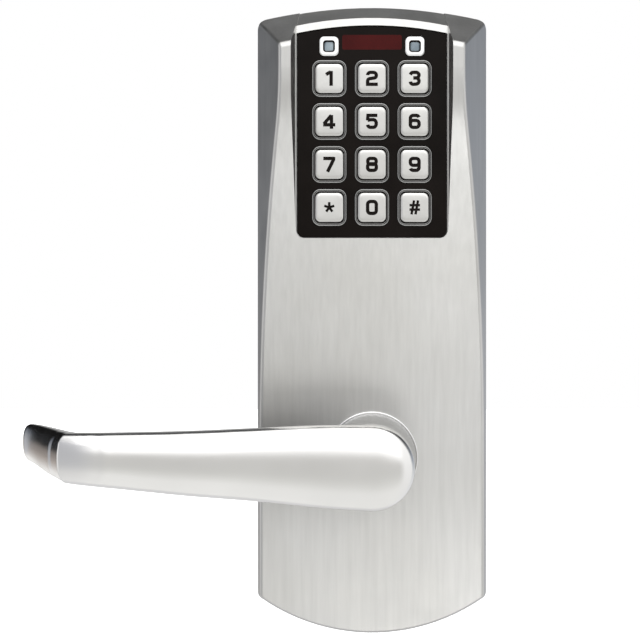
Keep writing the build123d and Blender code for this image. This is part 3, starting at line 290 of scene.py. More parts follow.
def build_materials():
    """A procedural material for each slot of the record, and for rims and digits."""
    return {
        "satin_metal": housing_metal("satin_metal"),
        "satin_lever": lever_metal("satin_lever"),
        "key_metal": satin_metal(
            "key_metal", (0.63, 0.625, 0.605), (0.74, 0.735, 0.715), 0.30, 0.38, 0.000008
        ),
        "rim_grey": satin_metal(
            "rim_grey", (0.30, 0.30, 0.295), (0.40, 0.40, 0.395), 0.20, 0.28, 0.000004
        ),
        "rim_bright": satin_metal(
            "rim_bright", (0.86, 0.86, 0.86), (0.93, 0.93, 0.93), 0.12, 0.18, 0.000004
        ),
        "print_black": gloss_black("print_black"),
        "gloss_black": gloss_black("gloss_black"),
        "chrome_ring": satin_metal(
            "chrome_ring", (0.84, 0.84, 0.84), (0.92, 0.92, 0.92), 0.10, 0.16, 0.000003
        ),
        "lens_grey": plastic("lens_grey", (0.14, 0.18, 0.21), (0.27, 0.32, 0.35), 0.15),
        "dark_red_window": tinted_window("dark_red_window"),
        "zinc_steel": satin_metal(
            "zinc_steel", (0.50, 0.51, 0.53), (0.62, 0.63, 0.65), 0.24, 0.38, 0.000008
        ),
        "spring_steel": satin_metal(
            "spring_steel", (0.42, 0.43, 0.45), (0.55, 0.56, 0.58), 0.20, 0.32, 0.000006
        ),
        "brass_collar": satin_metal(
            "brass_collar", (0.68, 0.50, 0.22), (0.80, 0.62, 0.30), 0.20, 0.32, 0.000006
        ),
        "foam_rubber": plastic(
            "foam_rubber", (0.018, 0.018, 0.02), (0.04, 0.04, 0.043), 0.85, 0.0002, 900.0
        ),
        "membrane_rubber": plastic("membrane_rubber", (0.10, 0.11, 0.12), (0.14, 0.15, 0.16), 0.6),
        "circuit_board": plastic("circuit_board", (0.012, 0.10, 0.045), (0.02, 0.15, 0.07), 0.35),
        "black_resin": plastic("black_resin", (0.02, 0.02, 0.022), (0.035, 0.035, 0.038), 0.5),
        "coil_black": plastic("coil_black", (0.03, 0.03, 0.033), (0.05, 0.05, 0.055), 0.45),
        "amber_film": plastic("amber_film", (0.42, 0.18, 0.03), (0.55, 0.27, 0.06), 0.3),
        "battery_sleeve": plastic("battery_sleeve", (0.05, 0.06, 0.075), (0.08, 0.09, 0.11), 0.3),
        "white_nylon": plastic("white_nylon", (0.72, 0.71, 0.68), (0.80, 0.79, 0.76), 0.5),
    }


def dress_cad(materials):
    """Give every CAD node the procedural material of its slot."""
    for entry in frame["record"]["subparts"]:
        node = NODES[entry["node"]]
        node.data.materials.clear()
        node.data.materials.append(materials[entry["material_slot"]])


# ------------------------------------------------------------------ surroundings
# Brightness of the surroundings as a metal surface mirrors them. Each list gives
# levels against the height component of the direction, from straight down to
# straight up; the levels are shares of WORLD_STRENGTH.
WORLD_STRENGTH = 1.25
FRONT_LEVELS = [
    (-1.0, (0.78, 0.78, 0.77)),
    (-0.50, (0.76, 0.76, 0.75)),
    (-0.34, (0.66, 0.66, 0.645)),
    (-0.20, (0.56, 0.56, 0.545)),
    (-0.06, (0.51, 0.505, 0.495)),
    (0.06, (0.56, 0.555, 0.545)),
    (0.20, (1.15, 1.15, 1.15)),
    (1.0, (1.6, 1.6, 1.6)),
]
FRONT_LEFT_LEVELS = [
    (-1.0, (0.72, 0.72, 0.72)),
    (-0.45, (0.62, 0.62, 0.62)),
    (-0.10, (0.44, 0.445, 0.465)),
    (0.50, (0.44, 0.445, 0.475)),
    (0.85, (0.75, 0.75, 0.76)),
]
SIDE_LEVELS = [
    (-1.0, (0.72, 0.72, 0.72)),
    (-0.1, (0.80, 0.80, 0.80)),
    (0.5, (0.90, 0.90, 0.90)),
]
REAR_LEFT_LEVELS = [
    (-0.8, (0.62, 0.62, 0.63)),
    (-0.3, (0.68, 0.68, 0.705)),
    (-0.12, (0.44, 0.455, 0.49)),
    (0.12, (0.12, 0.135, 0.165)),
    (0.5, (0.03, 0.032, 0.035)),
    (1.0, (0.016, 0.017, 0.019)),
]
REAR_SIDE_LEVELS = [
    (-0.8, (0.62, 0.62, 0.63)),
    (-0.1, (0.46, 0.465, 0.475)),
    (0.45, (0.40, 0.405, 0.415)),
    (0.9, (0.016, 0.017, 0.019)),
]
REAR_RIGHT_LEVELS = [
    (-0.8, (0.75, 0.75, 0.76)),
    (-0.3, (0.66, 0.67, 0.69)),
    (-0.12, (0.56, 0.575, 0.60)),
    (0.1, (0.33, 0.355, 0.40)),
    (0.5, (0.04, 0.042, 0.047)),
    (1.0, (0.016, 0.017, 0.019)),
]
DARK_CORNER_LEVELS = [
    (-0.5, (0.62, 0.62, 0.63)),
    (-0.22, (0.80, 0.79, 0.78)),
    (-0.10, (0.34, 0.30, 0.275)),
    (-0.03, (0.004, 0.004, 0.004)),
    (0.25, (0.002, 0.002, 0.002)),
    (1.0, (0.016, 0.017, 0.019)),
]
BEHIND_LEVELS = [
    (-0.5, (0.62, 0.62, 0.63)),
    (0.0, (0.42, 0.42, 0.42)),
    (0.50, (0.36, 0.36, 0.36)),
    (0.74, (0.06, 0.061, 0.063)),
    (1.0, (0.045, 0.046, 0.048)),
]


# Where one set of levels fades into the next, as X components of the direction
SIDE_LEFT_EDGE = (-0.92, -0.82)
FRONT_LEFT_EDGE = (-0.48, -0.30)
SIDE_RIGHT_EDGE = (0.55, 0.75)
REAR_SIDE_EDGE = (-0.86, -0.78)
DARK_CORNER_EDGE = (-0.73, -0.67)
BEHIND_EDGE = (-0.30, -0.20)
REAR_RIGHT_EDGE = (0.2, 0.5)
# The same from front to rear, as Y components
REAR_EDGE = (0.02, 0.26)


class Surroundings:
    """World node tree that gives a brightness for each direction."""

    def __init__(self, name):
        world = bpy.data.worlds.new(name)
        bpy.context.scene.world = world
        world.use_nodes = True
        self.nodes = world.node_tree.nodes
        self.links = world.node_tree.links
        self.nodes.clear()
        place = self.nodes.new("ShaderNodeTexCoord")
        self.direction = self.nodes.new("ShaderNodeSeparateXYZ")
        self.links.new(place.outputs["Generated"], self.direction.inputs[0])

    def ramp(self, axis, low, high, stops):
        """Colour against one component of the direction."""
        ranged = self.nodes.new("ShaderNodeMapRange")
        ranged.inputs["From Min"].default_value = low
        ranged.inputs["From Max"].default_value = high
        self.links.new(self.direction.outputs[axis], ranged.inputs["Value"])
        made = self.nodes.new("ShaderNodeValToRGB")
        self.links.new(ranged.outputs["Result"], made.inputs["Fac"])
        elements = made.color_ramp.elements
        while len(elements) < len(stops):
            elements.new(0.5)
        for element, (value, colour) in zip(elements, stops):
            element.position = (value - low) / (high - low)
            element.color = (*colour, 1.0)
        return made.outputs["Color"]

    def switch(self, axis, low, high):
        """Black below low, white above high."""
        return self.ramp(axis, low, high, [(low, (0, 0, 0)), (high, (1, 1, 1))])

    def mix(self, factor, first, second):
        made = self.nodes.new("ShaderNodeMix")
        made.data_type = "RGBA"
        self.links.new(factor, made.inputs["Factor"])
        self.links.new(first, made.inputs["A"])
        self.links.new(second, made.inputs["B"])
        return made.outputs["Result"]


def build_world():
    """White to the camera; in reflections a bright front and top and a dim rear."""
    studio = Surroundings("studio")
    front, front_left, side, rear_side, rear_left, rear_right, dark_corner, behind = (
        studio.ramp("Z", -1, 1, levels)
        for levels in (
            FRONT_LEVELS, FRONT_LEFT_LEVELS, SIDE_LEVELS, REAR_SIDE_LEVELS, REAR_LEFT_LEVELS,
            REAR_RIGHT_LEVELS, DARK_CORNER_LEVELS, BEHIND_LEVELS,
        )
    )
    front = studio.mix(studio.switch("X", *FRONT_LEFT_EDGE), front_left, front)
    front = studio.mix(studio.switch("X", *SIDE_LEFT_EDGE), side, front)
    front = studio.mix(studio.switch("X", *SIDE_RIGHT_EDGE), front, side)
    rear = studio.mix(studio.switch("X", *REAR_SIDE_EDGE), rear_side, rear_left)
    rear = studio.mix(studio.switch("X", *DARK_CORNER_EDGE), rear, dark_corner)
    rear = studio.mix(studio.switch("X", *BEHIND_EDGE), rear, behind)
    rear = studio.mix(studio.switch("X", *REAR_RIGHT_EDGE), rear, rear_right)
    surroundings = studio.mix(studio.switch("Y", *REAR_EDGE), front, rear)
    seen = studio.nodes.new("ShaderNodeBackground")
    seen.inputs["Color"].default_value = (1, 1, 1, 1)
    lit = studio.nodes.new("ShaderNodeBackground")
    studio.links.new(surroundings, lit.inputs["Color"])
    lit.inputs["Strength"].default_value = WORLD_STRENGTH
    ray = studio.nodes.new("ShaderNodeLightPath")
    choose = studio.nodes.new("ShaderNodeMixShader")
    studio.links.new(ray.outputs["Is Camera Ray"], choose.inputs["Fac"])
    studio.links.new(lit.outputs[0], choose.inputs[1])
    studio.links.new(seen.outputs[0], choose.inputs[2])
    out = studio.nodes.new("ShaderNodeOutputWorld")
    studio.links.new(choose.outputs[0], out.inputs["Surface"])


def build_floor():
    """Plain pale floor, well below the lock, left out of the metal's reflections."""
    half = FLOOR_SIZE / 2
    corners = [(x * half, y * half, FLOOR_Z) for x, y in [(-1, -1), (1, -1), (1, 1), (-1, 1)]]
    floor = mesh_object("floor", corners, [(0, 1, 2, 3)], smooth=False)
    shader = Shader("pale_floor")
    shader.set(Roughness=FLOOR_ROUGHNESS)
    mix_tones(shader, shader.noise(3.0, 2.0), (0.93, 0.93, 0.93), (0.95, 0.95, 0.95))
    shader.bsdf.inputs["Emission Color"].default_value = (1, 1, 1, 1)
    shader.bsdf.inputs["Emission Strength"].default_value = FLOOR_GLOW
    floor.data.materials.append(shader.material)
    floor.visible_glossy = False


# ------------------------------------------------------------------ lights
KEY_LIGHT_PLACE = (-0.3, -1.4, 1.3)
KEY_LIGHT_TARGET = (0, 0, 0.05)
KEY_LIGHT_SIZE = (1.4, 0.9)
KEY_LIGHT_WATTS = 3.0
LOW_LIGHT_PLACE = (0.08, -0.76, -0.23)
LOW_LIGHT_TARGET = (0, 0, 0.04)
LOW_LIGHT_SIZE = (0.26, 0.18)
LOW_LIGHT_WATTS = 0.33


def build_camera():
    """Camera square to the door, a little above the lever."""
    data = bpy.data.cameras.new("camera")
    data.lens = CAMERA_LENS
    data.sensor_width = 36.0
    data.shift_x = CAMERA_SHIFT_X
    camera = link(bpy.data.objects.new("camera", data))
    camera.location = (0, -CAMERA_DISTANCE, CAMERA_HEIGHT)
    camera.rotation_euler = (math.radians(90), 0, 0)
    bpy.context.scene.camera = camera


def area_light(name, place, target, size, watts):
    """Soft box aimed at a point."""
    data = bpy.data.lights.new(name, "AREA")
    data.shape = "RECTANGLE"
    data.size, data.size_y = size
    data.energy = watts
    light = link(bpy.data.objects.new(name, data))
    light.location = place
    aim = Vector(target) - Vector(place)
    light.rotation_euler = aim.to_track_quat("-Z", "Y").to_euler()
    return light


def housing_light():
    """Soft box low in front that lights only the housing; the lever still shades it."""
    light = area_light(
        "low_light", LOW_LIGHT_PLACE, LOW_LIGHT_TARGET, LOW_LIGHT_SIZE, LOW_LIGHT_WATTS
    )
    only = bpy.data.collections.new("housing_only")
    only.objects.link(NODES["housing"])
    light.light_linking.receiver_collection = only


# ------------------------------------------------------------------ mesh helpers
def rounded_rect(half_width, half_height, radius, steps=8):
    """Points round a rectangle with rounded corners, anticlockwise."""
    points = []
    for corner, (sx, sz) in enumerate([(1, 1), (-1, 1), (-1, -1), (1, -1)]):
        for i in range(steps + 1):
            angle = math.radians(90 * corner + 90 * i / steps)
            x = sx * (half_width - radius) + radius * math.cos(angle)
            z = sz * (half_height - radius) + radius * math.sin(angle)
            points.append((x, z))
    return points


def loft_rings(name, rings, close_ends=True):
    """Mesh through rings of points, each ring (list of (x, z), depth), in mm."""
    count = len(rings[0][0])
    verts = [(x * MM, -depth * MM, z * MM) for ring, depth in rings for x, z in ring]
    faces = []
    for level in range(len(rings) - 1):
        for i in range(count):
            j = (i + 1) % count
            low, high = level * count, (level + 1) * count
            faces.append((low + i, low + j, high + j, high + i))
    if close_ends:
        faces.append(tuple(reversed(range(count))))
        faces.append(tuple(range((len(rings) - 1) * count, len(rings) * count)))
    return mesh_object(name, verts, faces)


def shifted(points, centre):
    """Points moved by a centre."""
    return [(x + centre[0], z + centre[1]) for x, z in points]


def lathe(name, profile, steps=96):
    """Closed ring turned about the spindle axis from (radius, depth) points in mm."""
    count = len(profile)
    verts, faces = [], []
    for i in range(steps):
        angle = 2 * math.pi * i / steps
        for radius, depth in profile:
            verts.append((radius * math.cos(angle) * MM, -depth * MM, radius * math.sin(angle) * MM))
    for i in range(steps):
        here, there = i * count, ((i + 1) % steps) * count
        for j in range(count):
            k = (j + 1) % count
            faces.append((here + j, here + k, there + k, there + j))
    return mesh_object(name, verts, faces)


def settle(piece, material, body, replaced=None):
    """Face the normals outwards and hand the piece to its body and slot."""
    tidy = bmesh.new()
    tidy.from_mesh(piece.data)
    bmesh.ops.recalc_face_normals(tidy, faces=tidy.faces)
    tidy.to_mesh(piece.data)
    tidy.free()
    piece.data.materials.append(material)
    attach(piece, body)
    if replaced:
        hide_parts(replaced)
    return piece


# ------------------------------------------------------------------ lever
# The lever is one smooth cast form. It is described as a field that is negative
# inside, on a grid, and meshed from it: a tapered arm and a return towards the
# door that meet in a mitre, and a round neck, all blended. Sizes in mm.
VOXEL = 0.5
GRID_LOW = (-119.0, 14.0, -17.0)
GRID_HIGH = (18.0, 67.0, 17.0)
ARM_DEPTH = 58.0
ARM_DROP_X = -80.0
ARM_DROP = 0.0075
SECTION_POWER = 2.5
# X, top Z, bottom Z and thickness of the arm, from its left end to the hub
ARM_FORM = [
    (-99.0, 10.8, -4.3, 9.0),
    (-92.6, 10.9, -4.9, 9.6),
    (-78.0, 11.1, -6.3, 10.4),
    (-56.0, 11.6, -8.5, 11.0),
    (-37.0, 12.4, -10.0, 11.4),
    (-15.0, 13.3, -12.3, 11.5),
    (0.0, 13.3, -13.3, 11.6),
]
# Outer corner of the mitre, lean of the return from straight back, and its form:
# distance along it, top Z, bottom Z, thickness and how far it flares outwards
CREASE = (-96.4, 60.3)
RETURN_LEAN = math.radians(22.4)
RETURN_LENGTH = 51.6
RETURN_FORM = [
    (-6.0, 10.8, -5.0, 9.8, 0.0),
    (0.0, 10.9, -4.7, 9.4, 0.0),
    (24.0, 11.1, -3.7, 7.4, 0.0),
    (37.0, 11.1, -2.6, 6.4, 0.0),
    (44.0, 11.1, -1.8, 5.9, 0.5),
    (51.0, 11.1, -0.9, 5.4, 1.6),
]
MITRE_SOFTNESS = 0.5
FINGER_BLEND = 1.2
TIP_BLEND = 4.6
NECK_BACK = 17.6
NECK_BACK_R = 14.75
NECK_FRONT = 54.0
NECK_FRONT_R = 13.1
NECK_BLEND = 4.0
TUBE_R = 8.5
TUBE_FRONT = 46.0
SCREW_DEPTH = 32.0
SCREW_HOLE_R = 2.5
HUB_REACH = 22.0
OUTSIDE = -5.0
# How far inside the mitre the finger blend starts and is full
FINGER_START = 5.0
FINGER_FULL = 9.0


def smooth_union(first, second, blend):
    """Union of two fields with a rounded inside corner."""
    share = np.clip(0.5 + 0.5 * (second - first) / blend, 0, 1)
    return second * (1 - share) + first * share - blend * share * (1 - share)


def smooth_cut(first, second, blend):
    """Intersection of two fields with a rounded outside corner."""
    return -smooth_union(-first, -second, blend)


def ease(value, low, high):
    """Smooth step from 0 below low to 1 above high."""
    share = np.clip((value - low) / (high - low), 0, 1)
    return share * share * (3 - 2 * share)


def as_distance(field):
    """Rescale a field so that it grows by about one per millimetre."""
    steep = np.sqrt(sum(slope**2 for slope in np.gradient(field, VOXEL)))
    return field / np.maximum(steep, 1e-3)


def along_form(value, form, column):
    """Smooth curve through one column of a form table."""
    table = np.array(form)
    stations, sizes = table[:, 0], table[:, column]
    gaps = np.diff(stations)
    slopes = np.diff(sizes) / gaps
    tangents = np.concatenate([[slopes[0]], (slopes[:-1] + slopes[1:]) / 2, [slopes[-1]]])
    value = np.clip(value, stations[0], stations[-1])
    which = np.clip(np.searchsorted(stations, value, side="right") - 1, 0, len(gaps) - 1)
    gap = gaps[which]
    t = (value - stations[which]) / gap
    rise = (3 * t**2 - 2 * t**3) * (sizes[which + 1] - sizes[which]) + sizes[which]
    bend = (t**3 - 2 * t**2 + t) * tangents[which] + (t**3 - t**2) * tangents[which + 1]
    return rise + gap * bend


def arm_swell(x, depth):
    """Distance across the arm as a share of its half thickness."""
    centre = ARM_DEPTH - ARM_DROP * np.minimum(x - ARM_DROP_X, 0) ** 2
    return np.abs(depth - centre) / (along_form(x, ARM_FORM, 3) / 2)


def return_place(x, depth):
    """Distance along the return, and outwards from its outer face."""
    from_x, from_depth = x - CREASE[0], depth - CREASE[1]
    along = -from_x * math.sin(RETURN_LEAN) - from_depth * math.cos(RETURN_LEAN)
    outward = -from_x * math.cos(RETURN_LEAN) + from_depth * math.sin(RETURN_LEAN)
    return along, outward


def return_swell(along, outward):
    """Distance across the return as a share of its half thickness."""
    half = along_form(along, RETURN_FORM, 3) / 2
    return np.abs(outward - along_form(along, RETURN_FORM, 4) + half) / half


def grip_field(x, depth, z):
    """Arm and return as one form: mitred outside, filled in on the finger side."""
    along, outward = return_place(x, depth)
    arm, back = arm_swell(x, depth), return_swell(along, outward)
    half_turn = (math.pi / 2 - RETURN_LEAN) / 2
    from_x, from_depth = x - CREASE[0], depth - CREASE[1]
    side = from_x * math.cos(half_turn) + from_depth * math.sin(half_turn)
    inward = from_x * math.sin(half_turn) - from_depth * math.cos(half_turn)
    share = ease(side, -MITRE_SOFTNESS, MITRE_SOFTNESS)
    wide_share = ease(side, -5 * MITRE_SOFTNESS, 5 * MITRE_SOFTNESS)
    swell = arm * share + back * (1 - share)
    filled = smooth_union(arm, back, FINGER_BLEND)
    inner = ease(inward, FINGER_START, FINGER_FULL)
    swell = np.maximum(swell * (1 - inner) + np.minimum(swell, filled) * inner, 0)
    top, bottom = (
        along_form(x, ARM_FORM, i) * wide_share + along_form(along, RETURN_FORM, i) * (1 - wide_share)
        for i in (1, 2)
    )
    beyond = np.maximum(x, 0)
    rise = np.sqrt((z - (top + bottom) / 2) ** 2 + beyond**2) / ((top - bottom) / 2)
    body = (rise**SECTION_POWER + swell**SECTION_POWER) ** (1 / SECTION_POWER) - 1
    return smooth_cut(as_distance(body), along - RETURN_LENGTH + 0 * z, TIP_BLEND)


def neck_field(x, depth, z):
    """The round neck, narrower towards the front."""
    share = np.clip((depth - NECK_BACK) / (NECK_FRONT - NECK_BACK), 0, 1)
    radius = NECK_BACK_R + (NECK_FRONT_R - NECK_BACK_R) * share**0.8
    return smooth_cut(np.sqrt(x**2 + z**2) - radius, depth - NECK_FRONT, 2.0)


def lever_field():
    """Field of the whole lever, bored for the drive tube and the set screw."""
    axes = [np.arange(a, b, VOXEL) for a, b in zip(GRID_LOW, GRID_HIGH)]
    x, depth, z = np.meshgrid(*axes, indexing="ij")
    solid = smooth_union(grip_field(x, depth, z), neck_field(x, depth, z), NECK_BLEND)
    near_hub = np.sqrt(x**2 + z**2) < HUB_REACH
    solid = np.where(near_hub, np.maximum(solid, NECK_BACK - depth), solid)
    bore = np.where(depth < TUBE_FRONT, TUBE_R - np.sqrt(x**2 + z**2), OUTSIDE)
    screw = np.where(z < 0, SCREW_HOLE_R - np.sqrt(x**2 + (depth - SCREW_DEPTH) ** 2), OUTSIDE)
    return np.maximum(np.maximum(solid, bore), screw)


def build_lever(material):
    """Smooth cast lever handle, standing for the plain CAD one."""
    grid = openvdb.FloatGrid(background=5.0)
    grid.copyFromArray(np.ascontiguousarray(lever_field().astype(np.float32)))
    points, quads = grid.convertToQuads(isovalue=0.0)
    spots = points * VOXEL + np.array(GRID_LOW)
    verts = np.stack([spots[:, 0], -spots[:, 1], spots[:, 2]], axis=1) * MM
    lever = mesh_object("lever_cast", verts, quads.tolist())
    return settle(lever, material, "lever", "lever_handle")


def build_lever_rim(material):
    """Thin bright rim where the neck meets the housing."""
    profile = [
        (14.3, 17.25), (15.2, 17.25), (15.28, 17.35), (15.28, 17.80), (15.22, 17.95),
        (15.08, 18.02), (14.86, 17.98), (14.3, 17.9),
    ]
    return settle(lathe("lever_rim", profile), material, "lever")


# ------------------------------------------------------------------ keys
KEY_PITCH_X = 14.0
KEY_PITCH_Z = 14.1
KEY_TOP_ROW_Z = 124.8
KEY_NAMES = [["1", "2", "3"], ["4", "5", "6"], ["7", "8", "9"], ["star", "0", "hash"]]
# Half width, half height, corner radius and depth of each ring of a cap
CAP_RINGS = [
    (5.35, 5.55, 2.2, 18.92),
    (5.40, 5.60, 2.3, 19.00),
    (5.40, 5.60, 2.3, 19.62),
    (5.30, 5.50, 2.2, 19.70),
    (4.74, 4.94, 1.8, 19.72),
    (4.70, 4.90, 1.8, 19.85),
    (4.70, 4.90, 1.8, 22.45),
    (4.66, 4.86, 1.8, 22.70),
    (4.55, 4.75, 1.75, 22.92),
    (4.38, 4.58, 1.65, 23.07),
    (4.14, 4.34, 1.5, 23.16),
    (3.80, 4.00, 1.3, 23.205),
    (3.2, 3.4, 1.1, 23.23),
    (2.2, 2.4, 0.8, 23.255),
    (1.1, 1.2, 0.4, 23.265),
]
GLYPH_BACK = 23.20
GLYPH_FRONT = 23.30
STROKE = 1.13
THIN_STROKE = 0.72
POINT_GAP = 0.02
SHARPEST_CORNER = 0.45
WELD_DISTANCE = 1e-4


def key_place(row, column):
    """X and Z of the middle of a key."""
    return ((column - 1) * KEY_PITCH_X, KEY_TOP_ROW_Z - row * KEY_PITCH_Z)


def build_key(name, centre, material):
    """One key with its flange, rounded edges and slightly crowned face."""
    rings = [(shifted(rounded_rect(w, h, r), centre), depth) for w, h, r, depth in CAP_RINGS]
    cap = loft_rings(f"cap_{name}", rings)
    settle(cap, material, f"key_{name}_cap", f"key_{name}")


def arc(centre_x, centre_z, radius_x, radius_z, start, end, steps=7):
    """Points along part of an ellipse, angles in degrees."""
    points = []
    for i in range(steps + 1):
        angle = math.radians(start + (end - start) * i / steps)
        points.append((centre_x + radius_x * math.cos(angle), centre_z + radius_z * math.sin(angle)))
    return points


def glyph_strokes(name):
    """Centre lines of a glyph's strokes: (points, closed), in mm about its middle."""
    w, h, r = 1.42, 1.95, 0.95
    mid = 0.12
    if name == "0":
        return [(rounded_rect(w, h, r, 7), True)]
    if name == "1":
        flag = [(-1.05, 1.22), (-0.35, 1.68), (0.46, 2.10)]
        stem = [(0.62, 2.44), (0.62, -2.44)]
        return [(flag, False), (stem, False)]
    if name == "2":
        top = [(-w, 1.05)] + arc(-w + r, h - r, r, r, 170, 90) + arc(w - r, h - r, r, r, 90, 0)
        tail = arc(w - 0.8, mid + 0.8, 0.8, 0.8, 0, -80) + arc(-w + 0.8, -0.9, 0.8, 0.8, 95, 180)
        return [(top + tail + [(-w, -h), (w + 0.5, -h)], False)]
    if name == "3":
        top = [(-w, 1.15)] + arc(-w + r, h - r, r, r, 170, 90) + arc(w - r, h - 0.9, r, 0.9, 90, -80)
        low = [(0.35, mid)] + arc(w - r, mid - 1.0, r, 1.0, 85, -90)
        low += arc(-w + r, -h + r, r, r, -90, -175) + [(-w, -1.1)]
        return [(top + [(-0.45, mid)], False), ([(-0.45, mid), *low], False)]
    if name == "4":
        stem = [(0.72, -2.44), (0.72, 2.1)]
        slope = [(0.72, 2.0), (-1.72, -0.78)]
        bar = [(-1.98, -1.12), (1.98, -1.12)]
        return [(stem, False), (slope, False), (bar, False)]
    if name == "5":
        top = [(w + 0.35, h), (-w + 0.12, h), (-w, 0.32), (-0.5, 0.55), (w - r, 0.55)]
        low = arc(w - r, -h + 1.25, r, 1.25, 90, -90) + arc(-w + r, -h + r, r, r, -90, -175)
        return [(top[:3], False), (top[2:] + low, False)]
    if name in ("6", "9"):
        loop = rounded_rect(w, 1.12, 0.9, 6)
        loop = [(x, z - h + 1.12) for x, z in loop]
        hook = arc(w - r, h - 0.85, r, 0.85, 15, 90) + arc(-w + r, h - r, r, r, 90, 180) + [(-w, -0.9)]
        strokes = [(loop, True), (hook, False)]
        if name == "9":
            strokes = [([(-x, -z) for x, z in points], closed) for points, closed in strokes]
        return strokes
    if name == "7":
        return [([(-1.95, h), (w, h)], False), ([(w, h + 0.49), (w, 1.6), (-0.55, -2.44)], False)]
    if name == "8":
        upper = [(x, z + h - 0.98) for x, z in rounded_rect(w - 0.06, 0.98, 0.8, 6)]
        lower = [(x, z - h + 1.08) for x, z in rounded_rect(w, 1.08, 0.85, 6)]
        return [(upper, True), (lower, True)]
    if name == "star":
        spokes = []
        for i in range(5):
            angle = math.radians(90 + 72 * i)
            spokes.append(([(0, 0), (1.72 * math.cos(angle), 1.72 * math.sin(angle))], False))
        return spokes
    bars = [([(-1.7, z), (1.75, z)], False) for z in (0.72, -0.72)]
    legs = [([(x - 0.42, -2.3), (x + 0.42, 2.3)], False) for x in (-0.62, 0.68)]
    return bars + legs


def stroke_strip(points, closed, width):
    """Left and right edges of a stroke of even width along a centre line."""
    line = np.array(points)
    keep = [0] + [i for i in range(1, len(line)) if np.hypot(*(line[i] - line[i - 1])) > POINT_GAP]
    line = line[keep]
    before = np.roll(line, 1, axis=0)
    after = np.roll(line, -1, axis=0)
    if not closed:
        before[0] = 2 * line[0] - line[1]
        after[-1] = 2 * line[-1] - line[-2]
    come = line - before
    go = after - line
    come /= np.maximum(np.hypot(come[:, 0], come[:, 1]), 1e-6)[:, None]
    go /= np.maximum(np.hypot(go[:, 0], go[:, 1]), 1e-6)[:, None]
    normal = np.stack([-(come + go)[:, 1], (come + go)[:, 0]], axis=1)
    normal /= np.maximum(np.hypot(normal[:, 0], normal[:, 1]), 1e-6)[:, None]
    facing = np.maximum((normal * np.stack([-come[:, 1], come[:, 0]], axis=1)).sum(axis=1), SHARPEST_CORNER)
    shift = normal * (width / 2) / facing[:, None]
    return line + shift, line - shift


def build_glyph(name, centre, material):
    """Digit or sign printed on a key, as one thin raised sheet."""
    verts, polygons = [], []
    width = STROKE * (THIN_STROKE if name in ("star", "hash") else 1.0)
    for points, closed in glyph_strokes(name):
        left, right = stroke_strip(points, closed, width)
        first = len(verts)
        for a, b in zip(left, right):
            verts += [Vector(a), Vector(b)]
        count = len(left)
        for i in range(count if closed else count - 1):
            j = (i + 1) % count
            polygons.append([first + 2 * i, first + 2 * i + 1, first + 2 * j + 1, first + 2 * j])
    flat = delaunay_2d_cdt(verts, [], polygons, 1, WELD_DISTANCE)
    spots = flat[0]
    triangles = [face for face, sources in zip(flat[2], flat[5]) if sources]
    sheet = bmesh.new()
    made = [
        sheet.verts.new(((v.x + centre[0]) * MM, -GLYPH_BACK * MM, (v.y + centre[1]) * MM)) for v in spots
    ]
    for triangle in triangles:
        sheet.faces.new([made[i] for i in triangle])
    bmesh.ops.recalc_face_normals(sheet, faces=sheet.faces)
    grown = bmesh.ops.extrude_face_region(sheet, geom=sheet.faces[:])
    raised = [item for item in grown["geom"] if isinstance(item, bmesh.types.BMVert)]
    bmesh.ops.translate(sheet, verts=raised, vec=(0, -(GLYPH_FRONT - GLYPH_BACK) * MM, 0))
    mesh = bpy.data.meshes.new(f"glyph_{name}")
    sheet.to_mesh(mesh)
    sheet.free()
    glyph = link(bpy.data.objects.new(f"glyph_{name}", mesh))
    settle(glyph, material, f"key_{name}_cap")


# ------------------------------------------------------------------ keypad trim
# Inset from the outer edge and depth of each point of a key rim's bead
OUTER_BEAD = [
    (-0.05, 22.15), (-0.05, 22.55), (0.02, 22.72), (0.13, 22.84), (0.26, 22.86),
    (0.36, 22.80), (0.38, 22.60), (0.38, 22.15),
]
INNER_BEAD = [
    (0.54, 22.15), (0.54, 22.80), (0.59, 22.88), (0.67, 22.88), (0.73, 22.80), (0.745, 22.15),
]
RIM_HALF_WIDTH = 5.65
RIM_HALF_HEIGHT = 6.05
RIM_CORNER_R = 2.7


def build_key_rim(name, profile, centre, material):
    """Raised bead round the opening of a key."""
    rings = []
    for inset, depth in profile + profile[:1]:
        outline = rounded_rect(RIM_HALF_WIDTH - inset, RIM_HALF_HEIGHT - inset, RIM_CORNER_R - inset)
        rings.append((shifted(outline, centre), depth))
    bead = loft_rings(f"rim_{name}", rings, close_ends=False)
    welded = bmesh.new()
    welded.from_mesh(bead.data)
    bmesh.ops.remove_doubles(welded, verts=welded.verts, dist=1e-7)
    welded.to_mesh(bead.data)
    welded.free()
    settle(bead, material, "base")


INDICATOR_X = 14.1
INDICATOR_Z = 135.4
# Half size, corner radius and depth of each square ring of the well and the lens
WELL_RINGS = [(1.94, 0.95, 21.2), (1.94, 0.95, 22.3), (1.5, 0.7, 22.32), (1.5, 0.7, 21.2)]
DOME_RINGS = [
    (1.5, 0.7, 20.7), (1.5, 0.7, 22.2), (1.42, 0.68, 22.34), (1.2, 0.6, 22.46),
    (0.8, 0.4, 22.54), (0.4, 0.2, 22.57),
]


def square_rings(sections, centre):
    """Rings for loft_rings from (half size, corner radius, depth)."""
    return [(shifted(rounded_rect(half, half, r), centre), depth) for half, r, depth in sections]


def build_indicator(side, number, materials):
    """Dark well and domed lens of one indicator."""
    centre = (side * INDICATOR_X, INDICATOR_Z)
    shell = loft_rings(f"indicator_well_{number}", square_rings(WELL_RINGS, centre), close_ends=False)
    settle(shell, materials["gloss_black"], "base")
    lens = loft_rings(f"indicator_dome_{number}", square_rings(DOME_RINGS, centre))
    replaced = "indicator_lenses" if number == 1 else None
    settle(lens, materials["lens_grey"], "base", replaced)


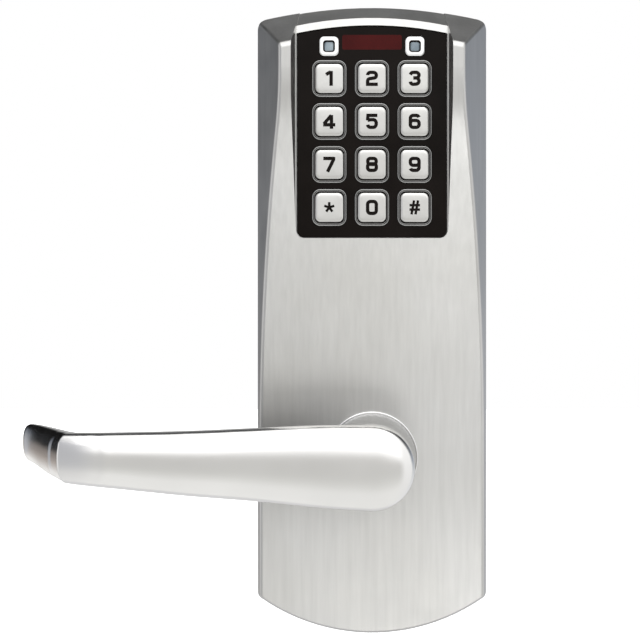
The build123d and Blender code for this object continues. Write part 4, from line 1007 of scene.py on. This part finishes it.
def build_keypad(materials):
    """Caps, glyphs, rims and indicators."""
    for row, names in enumerate(KEY_NAMES):
        for column, name in enumerate(names):
            centre = key_place(row, column)
            build_key(name, centre, materials["key_metal"])
            build_glyph(name, centre, materials["print_black"])
            build_key_rim(f"outer_{name}", OUTER_BEAD, centre, materials["rim_grey"])
            build_key_rim(f"inner_{name}", INNER_BEAD, centre, materials["rim_grey"])
    build_indicator(-1, 1, materials)
    build_indicator(1, 2, materials)


# ------------------------------------------------------------------ fixings
STUD_Z = 141.0
STUD_R = 2.98
THREAD_PITCH = 1.0
THREAD_HEIGHT = 0.5
THREAD_START = 3.0
STUD_ROOT = 0.3
STUD_TIP = 45.0
TIP_TAPER = 1.2
TIP_SHARE = 0.62
SHOULDER_HALF = 3.18
SHOULDER_CORNER = 3.1
SHOULDER_FRONT = 3.0
STUD_SIDES = 40
LEVELS_PER_TURN = 8


def stud_ring(y):
    """Outline of the stud at y, on the helix of the thread once that has begun."""
    ring = []
    lead = min(1.0, (STUD_TIP - y) / TIP_TAPER + TIP_SHARE)
    for i in range(STUD_SIDES):
        turn = i / STUD_SIDES
        phase = (y / THREAD_PITCH + turn) % 1.0
        dip = THREAD_HEIGHT * abs(2 * phase - 1)
        radius = (STUD_R - dip) * lead if y > THREAD_START else STUD_R
        angle = 2 * math.pi * turn
        ring.append((radius * math.cos(angle), STUD_Z + radius * math.sin(angle)))
    return ring


def build_stud(material):
    """Threaded anchor stud on the back."""
    steps = STUD_SIDES // 4 - 1
    corner = rounded_rect(SHOULDER_HALF, SHOULDER_HALF, SHOULDER_CORNER, steps)
    shoulder = shifted(corner, (0, STUD_Z))
    rings = [(shoulder, SHOULDER_FRONT), (shoulder, 0.0)]
    levels = int((STUD_TIP - STUD_ROOT) / THREAD_PITCH * LEVELS_PER_TURN)
    for level in range(levels + 1):
        y = STUD_ROOT + level * THREAD_PITCH / LEVELS_PER_TURN
        rings.append((stud_ring(y), -y))
    settle(loft_rings("stud_thread", rings), material, "base", "anchor_stud")


build_camera()
build_world()
build_floor()
area_light("key_light", KEY_LIGHT_PLACE, KEY_LIGHT_TARGET, KEY_LIGHT_SIZE, KEY_LIGHT_WATTS)
housing_light()
MATERIALS = build_materials()
dress_cad(MATERIALS)
build_lever(MATERIALS["satin_lever"])
build_lever_rim(MATERIALS["rim_bright"])
build_keypad(MATERIALS)
build_stud(MATERIALS["zinc_steel"])
bpy.context.scene.view_settings.view_transform = "Standard"
